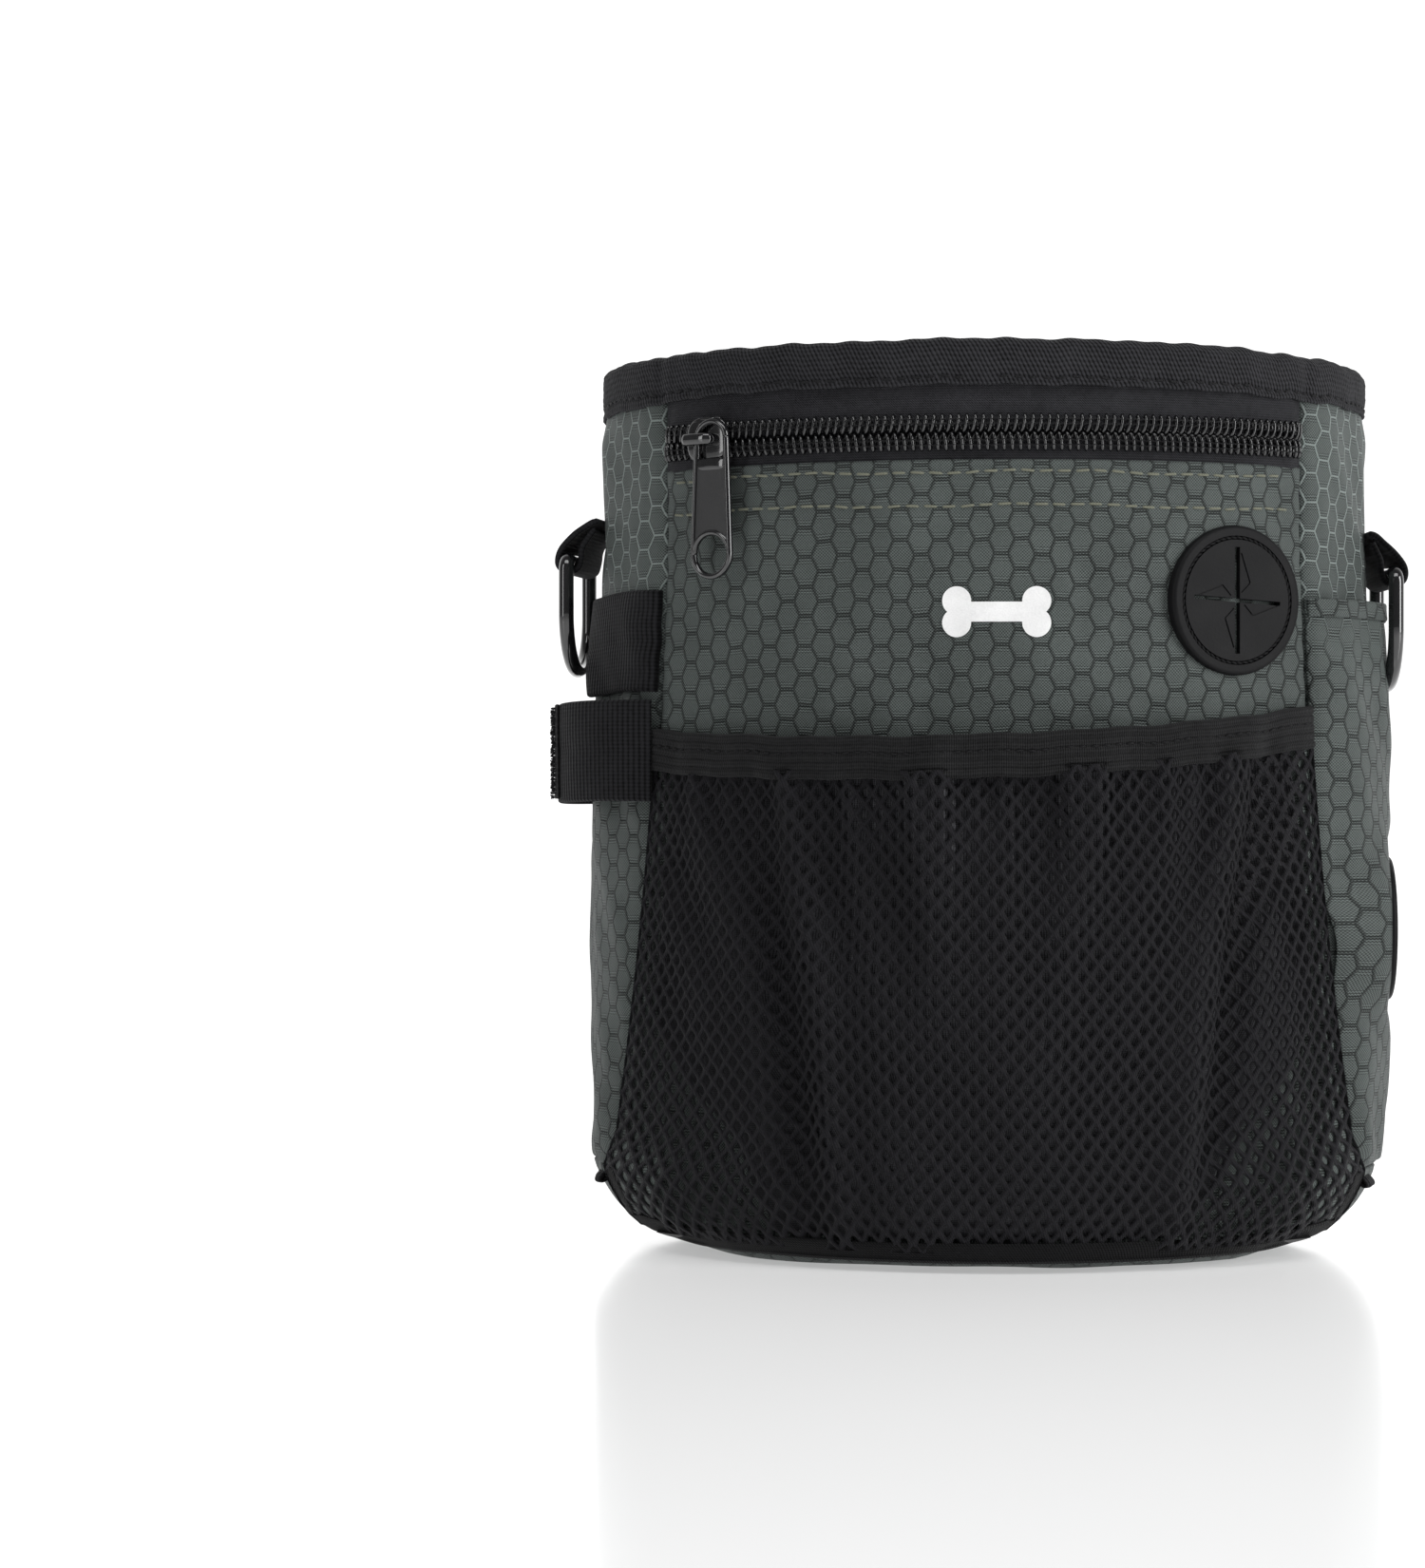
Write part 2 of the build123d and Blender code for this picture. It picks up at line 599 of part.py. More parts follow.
def ring_frame(side):
    """Frame at a ring's bar: X along the bar, Y up, Z out of the pouch."""
    turn = radians(RIGHT_RING_TURN if side > 0 else LEFT_RING_TURN)
    out = (side * cos(turn), sin(turn), 0)
    along = (-out[1], out[0], 0)
    x, z = (RIGHT_RING_X, RIGHT_RING_Z) if side > 0 else (-LEFT_RING_X, LEFT_RING_Z)
    spot = (x, RING_Y, z)
    return Plane(origin=spot, x_dir=along, z_dir=out).location


def d_ring(side):
    leg = RING_DROP - RING_HALF
    corner = RING_CORNER
    turn = corner * (1 - sqrt(0.5))
    half = RING_HALF
    path = Wire([
        Line((-half + corner, 0), (half - corner, 0)),
        ThreePointArc((half - corner, 0), (half - turn, -turn), (half, -corner)),
        Line((half, -corner), (half, -leg)),
        ThreePointArc((half, -leg), (0, -RING_DROP), (-half, -leg)),
        Line((-half, -leg), (-half, -corner)),
        ThreePointArc((-half, -corner), (-half + turn, -turn), (-half + corner, 0)),
    ])
    section = Plane(origin=(0, 0, 0), z_dir=(1, 0, 0)) * Circle(RING_WIRE)
    return ring_frame(side) * sweep(section, path)


def d_ring_tab(side):
    """Webbing folded round the ring's bar and sewn flat to the gusset above it."""
    bore = RING_WIRE + 0.12
    outer = bore + TAB_THICK
    deep = LEFT_RING_X - RIM_HALF_WIDTH + 2
    flat = Polyline([
        (-outer, 0), (-deep, 4), (-deep, TAB_RISE), (-outer - 0.6, TAB_RISE), (outer - 0.4, 1.6), (outer, 0),
        (-outer, 0),
    ])
    profile = make_face(flat) + Circle(outer) - Circle(bore)
    loop = extrude(profile, TAB_WIDTH / 2, both=True)
    turned = Plane(origin=(0, 0, 0), x_dir=(0, 0, 1), z_dir=(-1, 0, 0)).location * loop
    return (ring_frame(side) * turned) - body(0)


# ---------------------------------------------------------------- belt clip
CLIP_Y = BACK_Y + STRAP + 0.1
CLIP_FACE = CLIP_Y + CLIP_PLATE
TONGUE_Y = CLIP_FACE + CLIP_GAP


def side_profile(points):
    """Face drawn as (y, z) in the middle plane."""
    return Plane.YZ * make_face(Polyline([*points, points[0]]))


def clip_plate():
    plate = block((-CLIP_HALF, CLIP_HALF), (CLIP_Y, CLIP_FACE), (CLIP_Z[0], CLIP_Z[1] - HINGE_CUT))
    plate = fillet(plate.edges().filter_by(Axis.Y).group_by(Axis.Z)[0], 3)
    for z in CLIP_SLOTS:
        half = CLIP_STRAP_HALF + 0.3
        plate -= block((-half, half), (CLIP_Y - 1, CLIP_FACE + 1), (z - 1, z + 1))
    return plate


def clip_tongue():
    middle = (CLIP_FACE + TONGUE_Y) / 2
    inner, outer = CLIP_GAP / 2, CLIP_GAP / 2 + CLIP_PLATE
    upper_half = Pos(0, outer / 2) * Rectangle(3 * outer, outer)
    bend = Plane.YZ * (Pos(middle, CLIP_Z[1]) * ((Circle(outer) - Circle(inner)) & upper_half))
    back = TONGUE_Y + CLIP_PLATE
    blade = side_profile([
        (TONGUE_Y, CLIP_Z[1]), (TONGUE_Y, 100), (TONGUE_Y - 2.8, 90), (TONGUE_Y + 1.6, 77.5),
        (back + 1.4, 76.8), (back - 2.6, 89.9), (back, 99.6), (back, CLIP_Z[1]),
    ])
    return extrude(bend, CLIP_HALF, both=True) + extrude(blade, CLIP_HALF - 1, both=True)


def clip_webbing():
    """Strap sewn to the back at both ends, threaded through the plate's two slots."""
    below, above = CLIP_TAILS
    x = (-CLIP_STRAP_HALF, CLIP_STRAP_HALF)
    low, high = CLIP_SLOTS
    near = (BACK_Y, BACK_Y + STRAP)
    over = (CLIP_FACE, CLIP_FACE + STRAP)
    through = (BACK_Y, CLIP_FACE + STRAP)
    strap = block(x, near, (low - below, low + STRAP / 2))
    strap += block(x, near, (high - STRAP / 2, high + above))
    for z in (low, high):
        strap += block(x, through, (z - STRAP / 2, z + STRAP / 2))
    return strap + block(x, over, (low - STRAP / 2, high + STRAP / 2))


# ---------------------------------------------------------------- print
def bone_print():
    """Raised white print on the front panel."""
    shape = Rectangle(2 * BONE_HALF, BONE_BAR)
    for side in (-1, 1):
        for end in (-1, 1):
            shape += Pos(end * BONE_HALF, side * BONE_SPREAD) * Circle(BONE_KNOB)
    return shell(-BONE_PROUD, 0) & front_block(Pos(BONE_X, BONE_Z) * shape, -CLEAR, 0)


PARTS = {
    "front_panel": front_panel,
    "zip_pocket_back": zip_pocket_back,
    "left_gusset": lambda: gusset(-1),
    "right_gusset": lambda: gusset(1),
    "back_panel": back_panel,
    "bottom_panel": bottom_panel,
    "base_board": base_board,
    "back_foam": back_foam,
    "lining_bag": lining_bag,
    "rim_binding": rim_binding,
    "rim_stay_front": lambda: rim_stay(-1),
    "rim_stay_back": lambda: rim_stay(1),
    "mouth_magnet_front": mouth_magnet_front,
    "mouth_magnet_back": mouth_magnet_back,
    "bottom_seam_tabs": bottom_seam_tabs,
    "zipper_tape_upper": lambda: zip_tape(1),
    "zipper_tape_lower": lambda: zip_tape(-1),
    "zipper_coil_upper": lambda: zip_coil(1),
    "zipper_coil_lower": lambda: zip_coil(-1),
    "zipper_slider": zipper_slider,
    "zipper_puller": zipper_puller,
    "front_port": front_port,
    "side_port": side_port,
    "mesh_pocket": mesh_pocket,
    "mesh_elastic_band": mesh_elastic_band,
    "mesh_bottom_hem": mesh_bottom_hem,
    "side_pocket_panel": side_pocket_panel,
    "side_pocket_hem": side_pocket_hem,
    "left_strap_upper": left_strap_upper,
    "left_strap_lower": left_strap_lower,
    "left_strap_hook_patch": left_strap_hook_patch,
    "left_d_ring_tab": lambda: d_ring_tab(-1),
    "right_d_ring_tab": lambda: d_ring_tab(1),
    "left_d_ring": lambda: d_ring(-1),
    "right_d_ring": lambda: d_ring(1),
    "clip_webbing": clip_webbing,
    "clip_plate": clip_plate,
    "clip_tongue": clip_tongue,
    "bone_print": bone_print,
}

for name, make in PARTS.items():
    export_step(make(), f"parts/{name}.step")
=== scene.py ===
from math import asin, cos, pi, radians, sin

import bmesh
import bpy
import numpy as np
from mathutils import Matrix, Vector


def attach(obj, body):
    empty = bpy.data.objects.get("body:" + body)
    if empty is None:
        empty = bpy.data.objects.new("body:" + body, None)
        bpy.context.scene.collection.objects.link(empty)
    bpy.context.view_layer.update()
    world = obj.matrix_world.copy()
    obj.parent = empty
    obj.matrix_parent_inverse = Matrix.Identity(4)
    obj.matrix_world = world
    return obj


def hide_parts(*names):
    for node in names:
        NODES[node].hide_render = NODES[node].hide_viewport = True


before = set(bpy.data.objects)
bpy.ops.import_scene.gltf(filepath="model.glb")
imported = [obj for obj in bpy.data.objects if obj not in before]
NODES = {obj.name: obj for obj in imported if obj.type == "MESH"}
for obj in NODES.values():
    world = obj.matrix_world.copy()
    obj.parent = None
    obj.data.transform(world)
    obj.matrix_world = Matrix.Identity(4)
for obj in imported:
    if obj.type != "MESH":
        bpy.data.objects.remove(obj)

join = np.concatenate
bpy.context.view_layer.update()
MM = 0.001

# Treat pouch. Lengths below are in millimetres in the frame of the parts; meshes are made in metres.
# The outline in plan is a front arc, rounded sides, rounded back corners and a flat back.
ARC_X = 68.0
ARC_Y = 67.0
FRONT_R = 104.0
SEAM_ANGLE = asin(ARC_X / FRONT_R)
WIDE_X = 84.0
SIDE_R = (WIDE_X - ARC_X) / (1 - sin(SEAM_ANGLE))
SIDE_X = WIDE_X - SIDE_R
WIDE_Y = ARC_Y - FRONT_R * cos(SEAM_ANGLE) + SIDE_R * cos(SEAM_ANGLE)
CORNER_R = 14.0
BACK_Y = WIDE_Y + CORNER_R
FRONT_RUN = FRONT_R * SEAM_ANGLE
SIDE_RUN = SIDE_R * (pi / 2 - SEAM_ANGLE)
CORNER_RUN = CORNER_R * pi / 2
HALF_ROUND = FRONT_RUN + SIDE_RUN + CORNER_RUN + WIDE_X - CORNER_R
ROUND = 2 * HALF_ROUND
BACK_HALF = 66.0
BACK_SEAM = HALF_ROUND - BACK_HALF
RIM = 188.0
RIM_NARROW = 3.2
EDGE_R = 8.0  # the turn from the wall to the base
CORNER_LOW = 21.5  # the round lower corners in front view
CORNER_SEAM = (80.9, 17.0)  # where the front seams reach those corners
BASE_MIDDLE = np.array([0.0, 4.0])
ZIP_Z = 168.5
PORT = (FRONT_R * asin(51.1 / FRONT_R), 135.2)
SIDE_PORT = (14.0, 67.5)
PRINT = (3.0, 132.5)
GUSSET_WIDTH = BACK_SEAM - FRONT_RUN


# ---- surfaces
def smooth(value, low, high):
    t = np.clip((value - low) / (high - low), 0, 1)
    return t * t * (3 - 2 * t)


def hump(value, middle, reach):
    return np.exp(-((value - middle) / reach) ** 2)


def bump_at(s, z, place, reach):
    """1 near a place on the wall, falling to 0 at its reach."""
    return 1 - smooth(np.hypot(s - place[0], z - place[1]), 0.7 * reach, reach)


def wrapped(s):
    """Place along the outline, brought within half a round of the middle of the front."""
    return (np.asarray(s, float) + HALF_ROUND) % ROUND - HALF_ROUND


def plan(s):
    """Outline of the pouch in plan: s runs along it from the middle of the front, to the right."""
    s = wrapped(s)
    a = np.abs(s)
    side = np.where(s < 0, -1.0, 1.0)
    f, g = a / FRONT_R, (a - FRONT_RUN) / SIDE_R - pi / 2 + SEAM_ANGLE
    h = (a - FRONT_RUN - SIDE_RUN) / CORNER_R
    zone = [a <= FRONT_RUN, a <= FRONT_RUN + SIDE_RUN, a <= FRONT_RUN + SIDE_RUN + CORNER_RUN]
    nx = np.select(zone, [np.sin(f), np.cos(g), np.cos(h)], 0.0)
    ny = np.select(zone, [-np.cos(f), np.sin(g), np.sin(h)], 1.0)
    x = np.select(zone, [FRONT_R * nx, SIDE_X + SIDE_R * nx, WIDE_X - CORNER_R + CORNER_R * nx], HALF_ROUND - a)
    y = np.select(zone, [ARC_Y + FRONT_R * ny, WIDE_Y + SIDE_R * ny, WIDE_Y + CORNER_R * ny], BACK_Y)
    return x * side, y, nx * side, ny


def outward(s):
    """Direction across the wall, away from the pouch."""
    _, _, nx, ny = plan(s)
    return np.stack([nx, ny, 0 * nx], -1)


def on_arc(angle, z):
    """A place on the front arc, the direction along it to the right, and the one outwards."""
    out = np.array([sin(angle), -cos(angle), 0])
    return np.array([0, ARC_Y, z]) + FRONT_R * out, np.array([cos(angle), sin(angle), 0]), out


def narrowing(x, z):
    """How far the sides come in at height z: round bottom corners and a leaning top."""
    low = np.clip(CORNER_LOW - z, 0, CORNER_LOW)
    corner = CORNER_LOW - np.sqrt(CORNER_LOW ** 2 - low ** 2)
    top = RIM_NARROW * smooth(z, 85, 155)
    return np.sign(x) * smooth(np.abs(x), 46, WIDE_X) * (corner + top)


def seam_x(z):
    """The front seams in front view: a curve through three places, above a lean into the corners' outline."""
    z = np.asarray(z, float)
    (z0, x0), (z1, x1), (z2, x2) = (188.0, 66.5), (75.2, 70.6), (25.0, 77.0)
    curve = (x0 * (z - z1) * (z - z2) / ((z0 - z1) * (z0 - z2))
             + x1 * (z - z0) * (z - z2) / ((z1 - z0) * (z1 - z2))
             + x2 * (z - z0) * (z - z1) / ((z2 - z0) * (z2 - z1)))
    low_x, kink_z = CORNER_SEAM
    low = low_x - narrowing(low_x, z)
    lean = np.interp(z, [kink_z, z2], [low_x - narrowing(low_x, kink_z), x2])
    return np.where(z >= z2, curve, np.where(z >= kink_z, lean, low))


def seam_table():
    heights = np.arange(0.0, 192.0, 2.0)
    runs = np.linspace(40, FRONT_RUN + SIDE_RUN, 400)
    x = plan(runs)[0]
    return heights, np.array([np.interp(seam_x(z), x - narrowing(x, z), runs) for z in heights])


SEAM_TABLE = seam_table()


def front_seam(z):
    """Place of the right front seam along the outline at height z."""
    return np.interp(z, *SEAM_TABLE)


def ripple(s, z, waves, seed):
    """Sum of gentle waves of fixed directions, about -1 to 1."""
    rng = np.random.RandomState(seed)
    total = 0.0
    for length in waves:
        turn = rng.uniform(0, pi)
        phase = rng.uniform(0, 2 * pi)
        total = total + np.sin(2 * pi * (s * np.cos(turn) + z * np.sin(turn)) / length + phase)
    return total / len(waves)


def relief(s, z):
    """How far the cloth stands off its drawn place: soft folds, and pinched seams."""
    s = wrapped(s)
    a = np.abs(s)
    seam = front_seam(z)
    front = a < seam
    off_seam = np.abs(a - seam)
    calm = 1 - smooth(z, 156, 163) * (1 - smooth(z, 176, 182)) * front
    for place, reach in ((PORT, 23), (PRINT, 20)):
        calm = calm * (1 - bump_at(s, z, place, reach))
    calm = calm * (1 - smooth(z, 170, 178) * 0.8)
    panel = 0.55 * ripple(s, z, (61, 43, 29, 23), 4) + 0.22 * ripple(s, z, (14, 11, 8.5), 8)
    gusset = ripple(s * 1.5, z * 0.5, (57, 34, 26), 15) + 0.4 * ripple(s * 1.5, z * 0.6, (17, 12, 9), 16)
    folds = np.where(front, panel, gusset)
    puff = 0.9 * smooth(off_seam, 0, 9) * (~front) * smooth(z, 2, 14)
    pull = 0.35 * np.sin(2 * pi * z / 7.3 + 1.7 * np.sin(z / 17)) * hump(off_seam, 0, 5.0)
    pinch = -0.9 * hump(a, seam, 1.5) - 0.8 * hump(a, BACK_SEAM, 1.3)
    return (folds + pull) * calm * (0.35 + 0.65 * smooth(off_seam, 0, 6)) + (puff - 0.35) * calm + pinch


def rim_line(s):
    """Height of the rim, a little lower towards the right end."""
    x = plan(s)[0]
    wave = 0.28 * ripple(s, 0 * s, (47, 19, 11, 7.3), 21) + 0.2 * ripple(s, 0 * s, (5.1, 3.9), 22)
    return RIM - np.where(x < 0, 0.5, 2.0) * (x / WIDE_X) ** 2 + wave - 0.45


def wall(s, z, inset, loose=1.0, narrow=1.0):
    """Point of the wall, inset from its outer face. Loose scales the folds, narrow how far the sides come in."""
    x, y, nx, ny = plan(s)
    r = np.maximum(EDGE_R - inset, 0.5)
    low = np.clip(EDGE_R - z, 0, r)
    deep = inset + r - np.sqrt(r ** 2 - low ** 2) - loose * relief(s, z)
    return np.stack([x - nx * deep - narrow * narrowing(x, z), y - ny * deep, z + 0 * deep], -1)


def zip_narrow(s, z):
    """The zip keeps to the arc that its slider follows; its ends and hidden edge come in with the sides."""
    return np.maximum(smooth(np.abs(s), 68, 74), 1 - smooth(z, 159.5, 163.5))


def zip_point(s, z, out):
    """Point over the zip, which has no folds."""
    return wall(s, z, -out, 0.0, zip_narrow(s, z))


# ---- meshes
def steps(count, length, edge=0.6):
    """0 to 1 with extra points near both ends."""
    near = np.array([0, 0.1, 0.35, 0.7]) * edge / length
    middle = np.linspace(edge / length, 1 - edge / length, count)
    return join([near, middle, 1 - near[::-1]])


def add(name, data):
    obj = bpy.data.objects.new(name, data)
    bpy.context.scene.collection.objects.link(obj)
    return obj


def piece(name, points, faces, uvs, material, body="bag", slot=None):
    """A smooth mesh. Points in millimetres, uvs one per face corner, in millimetres too."""
    mesh = bpy.data.meshes.new(name)
    mesh.from_pydata((np.asarray(points) * MM).tolist(), [], np.asarray(faces).tolist())
    layer = mesh.uv_layers.new(name="cloth")
    layer.data.foreach_set("uv", np.asarray(uvs, np.float32).reshape(-1))
    mesh.materials.append(material)
    mesh.polygons.foreach_set("use_smooth", [True] * len(mesh.polygons))
    mesh.update()
    obj = add(name, mesh)
    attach(obj, body)
    return obj


def weld(obj, gap=2e-6):
    """Joins points that meet, and drops faces with no area."""
    bm = bmesh.new()
    bm.from_mesh(obj.data)
    bmesh.ops.remove_doubles(bm, verts=bm.verts, dist=gap)
    bmesh.ops.dissolve_degenerate(bm, dist=gap, edges=bm.edges)
    bm.to_mesh(obj.data)
    bm.free()
    return obj


def quads(rows, columns, closed):
    """Corner (row, column) indices of a grid's faces; closed grids join their last column to the first."""
    r, c = np.meshgrid(np.arange(rows - 1), np.arange(columns if closed else columns - 1), indexing="ij")
    r, c = r.reshape(-1), c.reshape(-1)
    return np.stack([r, r, r + 1, r + 1], 1), np.stack([c, c + 1, c + 1, c], 1)


def cloth(name, at, size, counts, thick, material, slot, closed=False, edge=0.6, body="bag", uv=None, tall=None):
    """Closed thin sheet. at(u, v, depth) gives its points; size is (width, height) in millimetres.

    Tall is the height that its rows are spaced over, where it isn't the sheet's own."""
    us = np.linspace(0, 1, counts[0], endpoint=False) if closed else steps(counts[0], size[0], edge)
    vs = steps(counts[1], tall or size[1], edge)
    columns, rows = len(us), len(vs)
    u, v = np.meshgrid(us, vs)
    across = np.full_like(u, 1e9) if closed else np.minimum(u, 1 - u) * size[0]
    near = np.minimum(across, np.minimum(v, 1 - v) * size[1])
    rim = 1 - np.clip(near / edge, 0, 1)
    curl = thick / 2 * (1 - np.sqrt(np.clip(1 - rim ** 2, 0, 1)))
    outer = at(u, v, curl).reshape(-1, 3)
    inner = at(u, v, thick - curl).reshape(-1, 3)
    index = np.arange(rows * columns).reshape(rows, columns)
    twin = index + rows * columns
    border = np.zeros((rows, columns), bool)
    border[[0, -1]] = True
    if not closed:
        border[:, [0, -1]] = True
    twin[border] = index[border]
    r, c = quads(rows, columns, closed)
    front = index[r, c % columns]
    back = twin[r, c % columns][:, ::-1]
    us_end = np.append(us, 1.0) if closed else us
    uu, vv = uv(us_end[c], vs[r]) if uv else (us_end[c] * size[0], vs[r] * size[1])
    front_uv = np.stack([uu, vv], -1)
    uvs = join([front_uv, front_uv[:, ::-1]])
    faces = join([front, back])
    return piece(name, join([outer, inner]), faces, uvs, material, body, slot)


def tubes(name, lines, ups, radius, material, slot, sides=8, body="bag", taper=True, turn=(1.0, 1.0)):
    """Round strands along lines of points. Ups are directions across each line; turn stretches the section."""
    points, faces, uvs, start = [], [], [], 0
    ring = np.linspace(0, 2 * pi, sides, endpoint=False)
    for line, up in zip(lines, ups):
        line, up = np.asarray(line, float), np.asarray(up, float)
        n = len(line)
        along = np.gradient(line, axis=0)
        along /= np.linalg.norm(along, axis=1)[:, None]
        side = np.cross(along, up)
        side /= np.linalg.norm(side, axis=1)[:, None]
        up = np.cross(side, along)
        size = np.full(n, float(radius))
        if taper:
            size[0] = size[-1] = radius * 0.15
        size = size[:, None, None]
        ring_points = (line[:, None] + turn[0] * size * np.cos(ring)[None, :, None] * side[:, None]
                       + turn[1] * size * np.sin(ring)[None, :, None] * up[:, None])
        points.append(ring_points.reshape(-1, 3))
        r, c = quads(n, sides, True)
        faces.append(start + r * sides + c % sides)
        run = join([[0], np.cumsum(np.linalg.norm(np.diff(line, axis=0), axis=1))])
        uvs.append(np.stack([run[r], c * 2 * pi * radius / sides], -1))
        caps = start + np.array([np.arange(sides)[::-1], (n - 1) * sides + np.arange(sides)])
        for q in range(1, sides - 2, 2):
            faces.append(caps[:, [0, q, q + 1, q + 2]])
            uvs.append(np.zeros((2, 4, 2)))
        start += n * sides
    return piece(name, *map(join, (points, faces, uvs)), material, body, slot)


# ---- materials
class Term:
    """A node's output, for use in formulas."""

    def __init__(self, shader, socket):
        self.shader, self.socket = shader, socket

    __add__ = lambda self, other: self.shader.math("ADD", self, other)
    __sub__ = lambda self, other: self.shader.math("SUBTRACT", self, other)
    __rsub__ = lambda self, other: self.shader.math("SUBTRACT", other, self)
    __mul__ = lambda self, other: self.shader.math("MULTIPLY", self, other)
    __abs__ = lambda self: self.shader.math("ABSOLUTE", self)


class Nodes:
    """A node tree, filled one formula at a time."""

    def __init__(self, tree):
        self.tree = tree

    def put(self, kind, *inputs, out=0, **settings):
        node = self.tree.nodes.new("ShaderNode" + kind)
        for key, value in settings.items():
            setattr(node, key, value)
        for socket, value in zip(node.inputs, inputs):
            if isinstance(value, Term):
                self.tree.links.new(value.socket, socket)
            elif value is not None:
                socket.default_value = value
        return Term(self, node.outputs[out])

    def math(self, operation, *inputs):
        return self.put("Math", *inputs, operation=operation)

    def vector(self, operation, *inputs):
        return self.put("VectorMath", *inputs, operation=operation)

    def span(self, value, low, high, to_low=0.0, to_high=1.0, kind="SMOOTHSTEP"):
        return self.put("MapRange", value, low, high, to_low, to_high, interpolation_type=kind)

    def xy(self, vector):
        x = self.put("SeparateXYZ", vector)
        return x, Term(self, x.socket.node.outputs[1])

    def noise(self, vector, scale, detail=3.0, rough=0.55, out=0):
        return self.put("TexNoise", vector, None, scale, detail, rough, out=out)


class Shader(Nodes):
    """A node material for one finish. Its pattern runs in the cloth's own millimetres."""

    def __init__(self, name, colour, rough, **sockets):
        self.mat = bpy.data.materials.new(name)
        self.mat.use_nodes = True
        super().__init__(self.mat.node_tree)
        self.bsdf = next(n for n in self.tree.nodes if n.type == "BSDF_PRINCIPLED")
        self.bsdf.inputs["Base Color"].default_value = (*colour, 1)
        self.bsdf.inputs["Roughness"].default_value = rough
        for key, value in sockets.items():
            self.bsdf.inputs[key.replace("_", " ")].default_value = value
        self.colour = colour

    def flat(self):
        return self.put("UVMap", uv_map="cloth")

    def place(self):
        """Place in the pouch's frame, in millimetres."""
        return self.vector("MULTIPLY", self.put("TexCoord", out=3), (1000, 1000, 1000))

    def wave(self, value, pitch):
        """-1 to 1 along value."""
        return self.math("SINE", value * (2 * pi / pitch))

    def tint(self, factor, low, high):
        """Colour that goes from low to high times the base colour."""
        node = self.tree.nodes.new("ShaderNodeMix")
        node.data_type = "RGBA"
        for socket, level in ((6, low), (7, high)):
            node.inputs[socket].default_value = (*(c * level for c in self.colour), 1)
        self.tree.links.new(factor.socket, node.inputs[0])
        self.tree.links.new(node.outputs[2], self.bsdf.inputs["Base Color"])

    def roughen(self, factor, low, high):
        self.tree.links.new(self.span(factor, 0.0, 1.0, low, high).socket, self.bsdf.inputs["Roughness"])

    def raise_by(self, height, distance, strength=0.8):
        """Height from 0 to 1, in distance millimetres."""
        node = self.tree.nodes.new("ShaderNodeBump")
        node.inputs["Strength"].default_value = strength
        node.inputs["Distance"].default_value = distance * MM
        self.tree.links.new(height.socket, node.inputs["Height"])
        self.tree.links.new(node.outputs[0], self.bsdf.inputs["Normal"])
        return self.mat


ROOT_3 = 3 ** 0.5
HEX_SIDE = 2.7
HEX_SQUEEZE = HEX_SIDE * ROOT_3 / 6.0
THREAD = 0.62


def ripstop(name, line, thick):
    """Coated hexagon ripstop with painted light on its raised threads: they get painted shade, and line sets how
    dark they are painted near the top, or, where it is negative, how light, as a painted highlight; thick is their
    half width.
    """
    sh = Shader(name, (0.060, 0.0695, 0.0665), 0.5, Sheen_Weight=0.04, Sheen_Roughness=0.4, Specular_IOR_Level=0.16)
    drift = sh.vector("SUBTRACT", sh.noise(sh.flat(), 0.09, 2.0, 0.5, out=1), (0.5, 0.5, 0.5))
    flat = sh.vector("ADD", sh.flat(), sh.vector("MULTIPLY", drift, (1.3, 1.3, 0.0)))
    squeezed = sh.vector("MULTIPLY", flat, (1.0, HEX_SQUEEZE, 0.0))
    half = (1.5 * HEX_SIDE, HEX_SIDE * ROOT_3 / 2, 1.0)
    back = tuple(-h for h in half)
    cells = []
    for shift in ((0.0, 0.0, 0.0), (half[0], half[1], 0.0)):
        cell = sh.vector("WRAP", sh.vector("SUBTRACT", squeezed, shift), half, back)
        x, y = sh.xy(sh.vector("ABSOLUTE", cell))
        cells.append((sh.math("MAXIMUM", y, x * (ROOT_3 / 2) + y * 0.5), x, y))
    (far, x, y), (far_2, x_2, y_2) = cells
    edge = half[1] - sh.math("MINIMUM", far, far_2)
    pick = sh.math("LESS_THAN", far_2, far)
    x, y = pick * (x_2 - x) + x, pick * (y_2 - y) + y
    ridge = sh.span(edge, thick, 0.05)
    # Painted shade in the low band just beside each raised thread.
    groove = sh.span(edge, 0.22, 0.5, 1.0, 0.0) * sh.span(edge, 0.05, 0.22)
    u, v = sh.xy(flat)
    weave = sh.wave(u, THREAD) * sh.wave(v, THREAD)
    floats = sh.span(x, 1.9, 1.3) * sh.span(y, 0.9, 1.4) * sh.wave(y, 0.44)
    grain = sh.noise(flat, 1.6, 4.0, 0.7)
    height = ridge * 0.9 + weave * 0.14 + floats * 0.22 + grain * 0.3
    shade = (grain - 0.5) * 0.55 + sh.noise(flat, 0.045) * 0.5 + weave * 0.6 + floats * 0.4
    # Painted shade on the raised threads, turning near the top into a painted highlight where line is negative; the
    # band beside them gets painted shade too.
    shade = shade - groove * 0.3 - ridge * sh.span(v, 118.0, 150.0, 0.5, line)
    sh.tint((shade + 0.34) * 0.5, 0.25, 3.45)
    sh.roughen(grain, 0.42, 0.66)
    return sh.raise_by(height, 0.3)


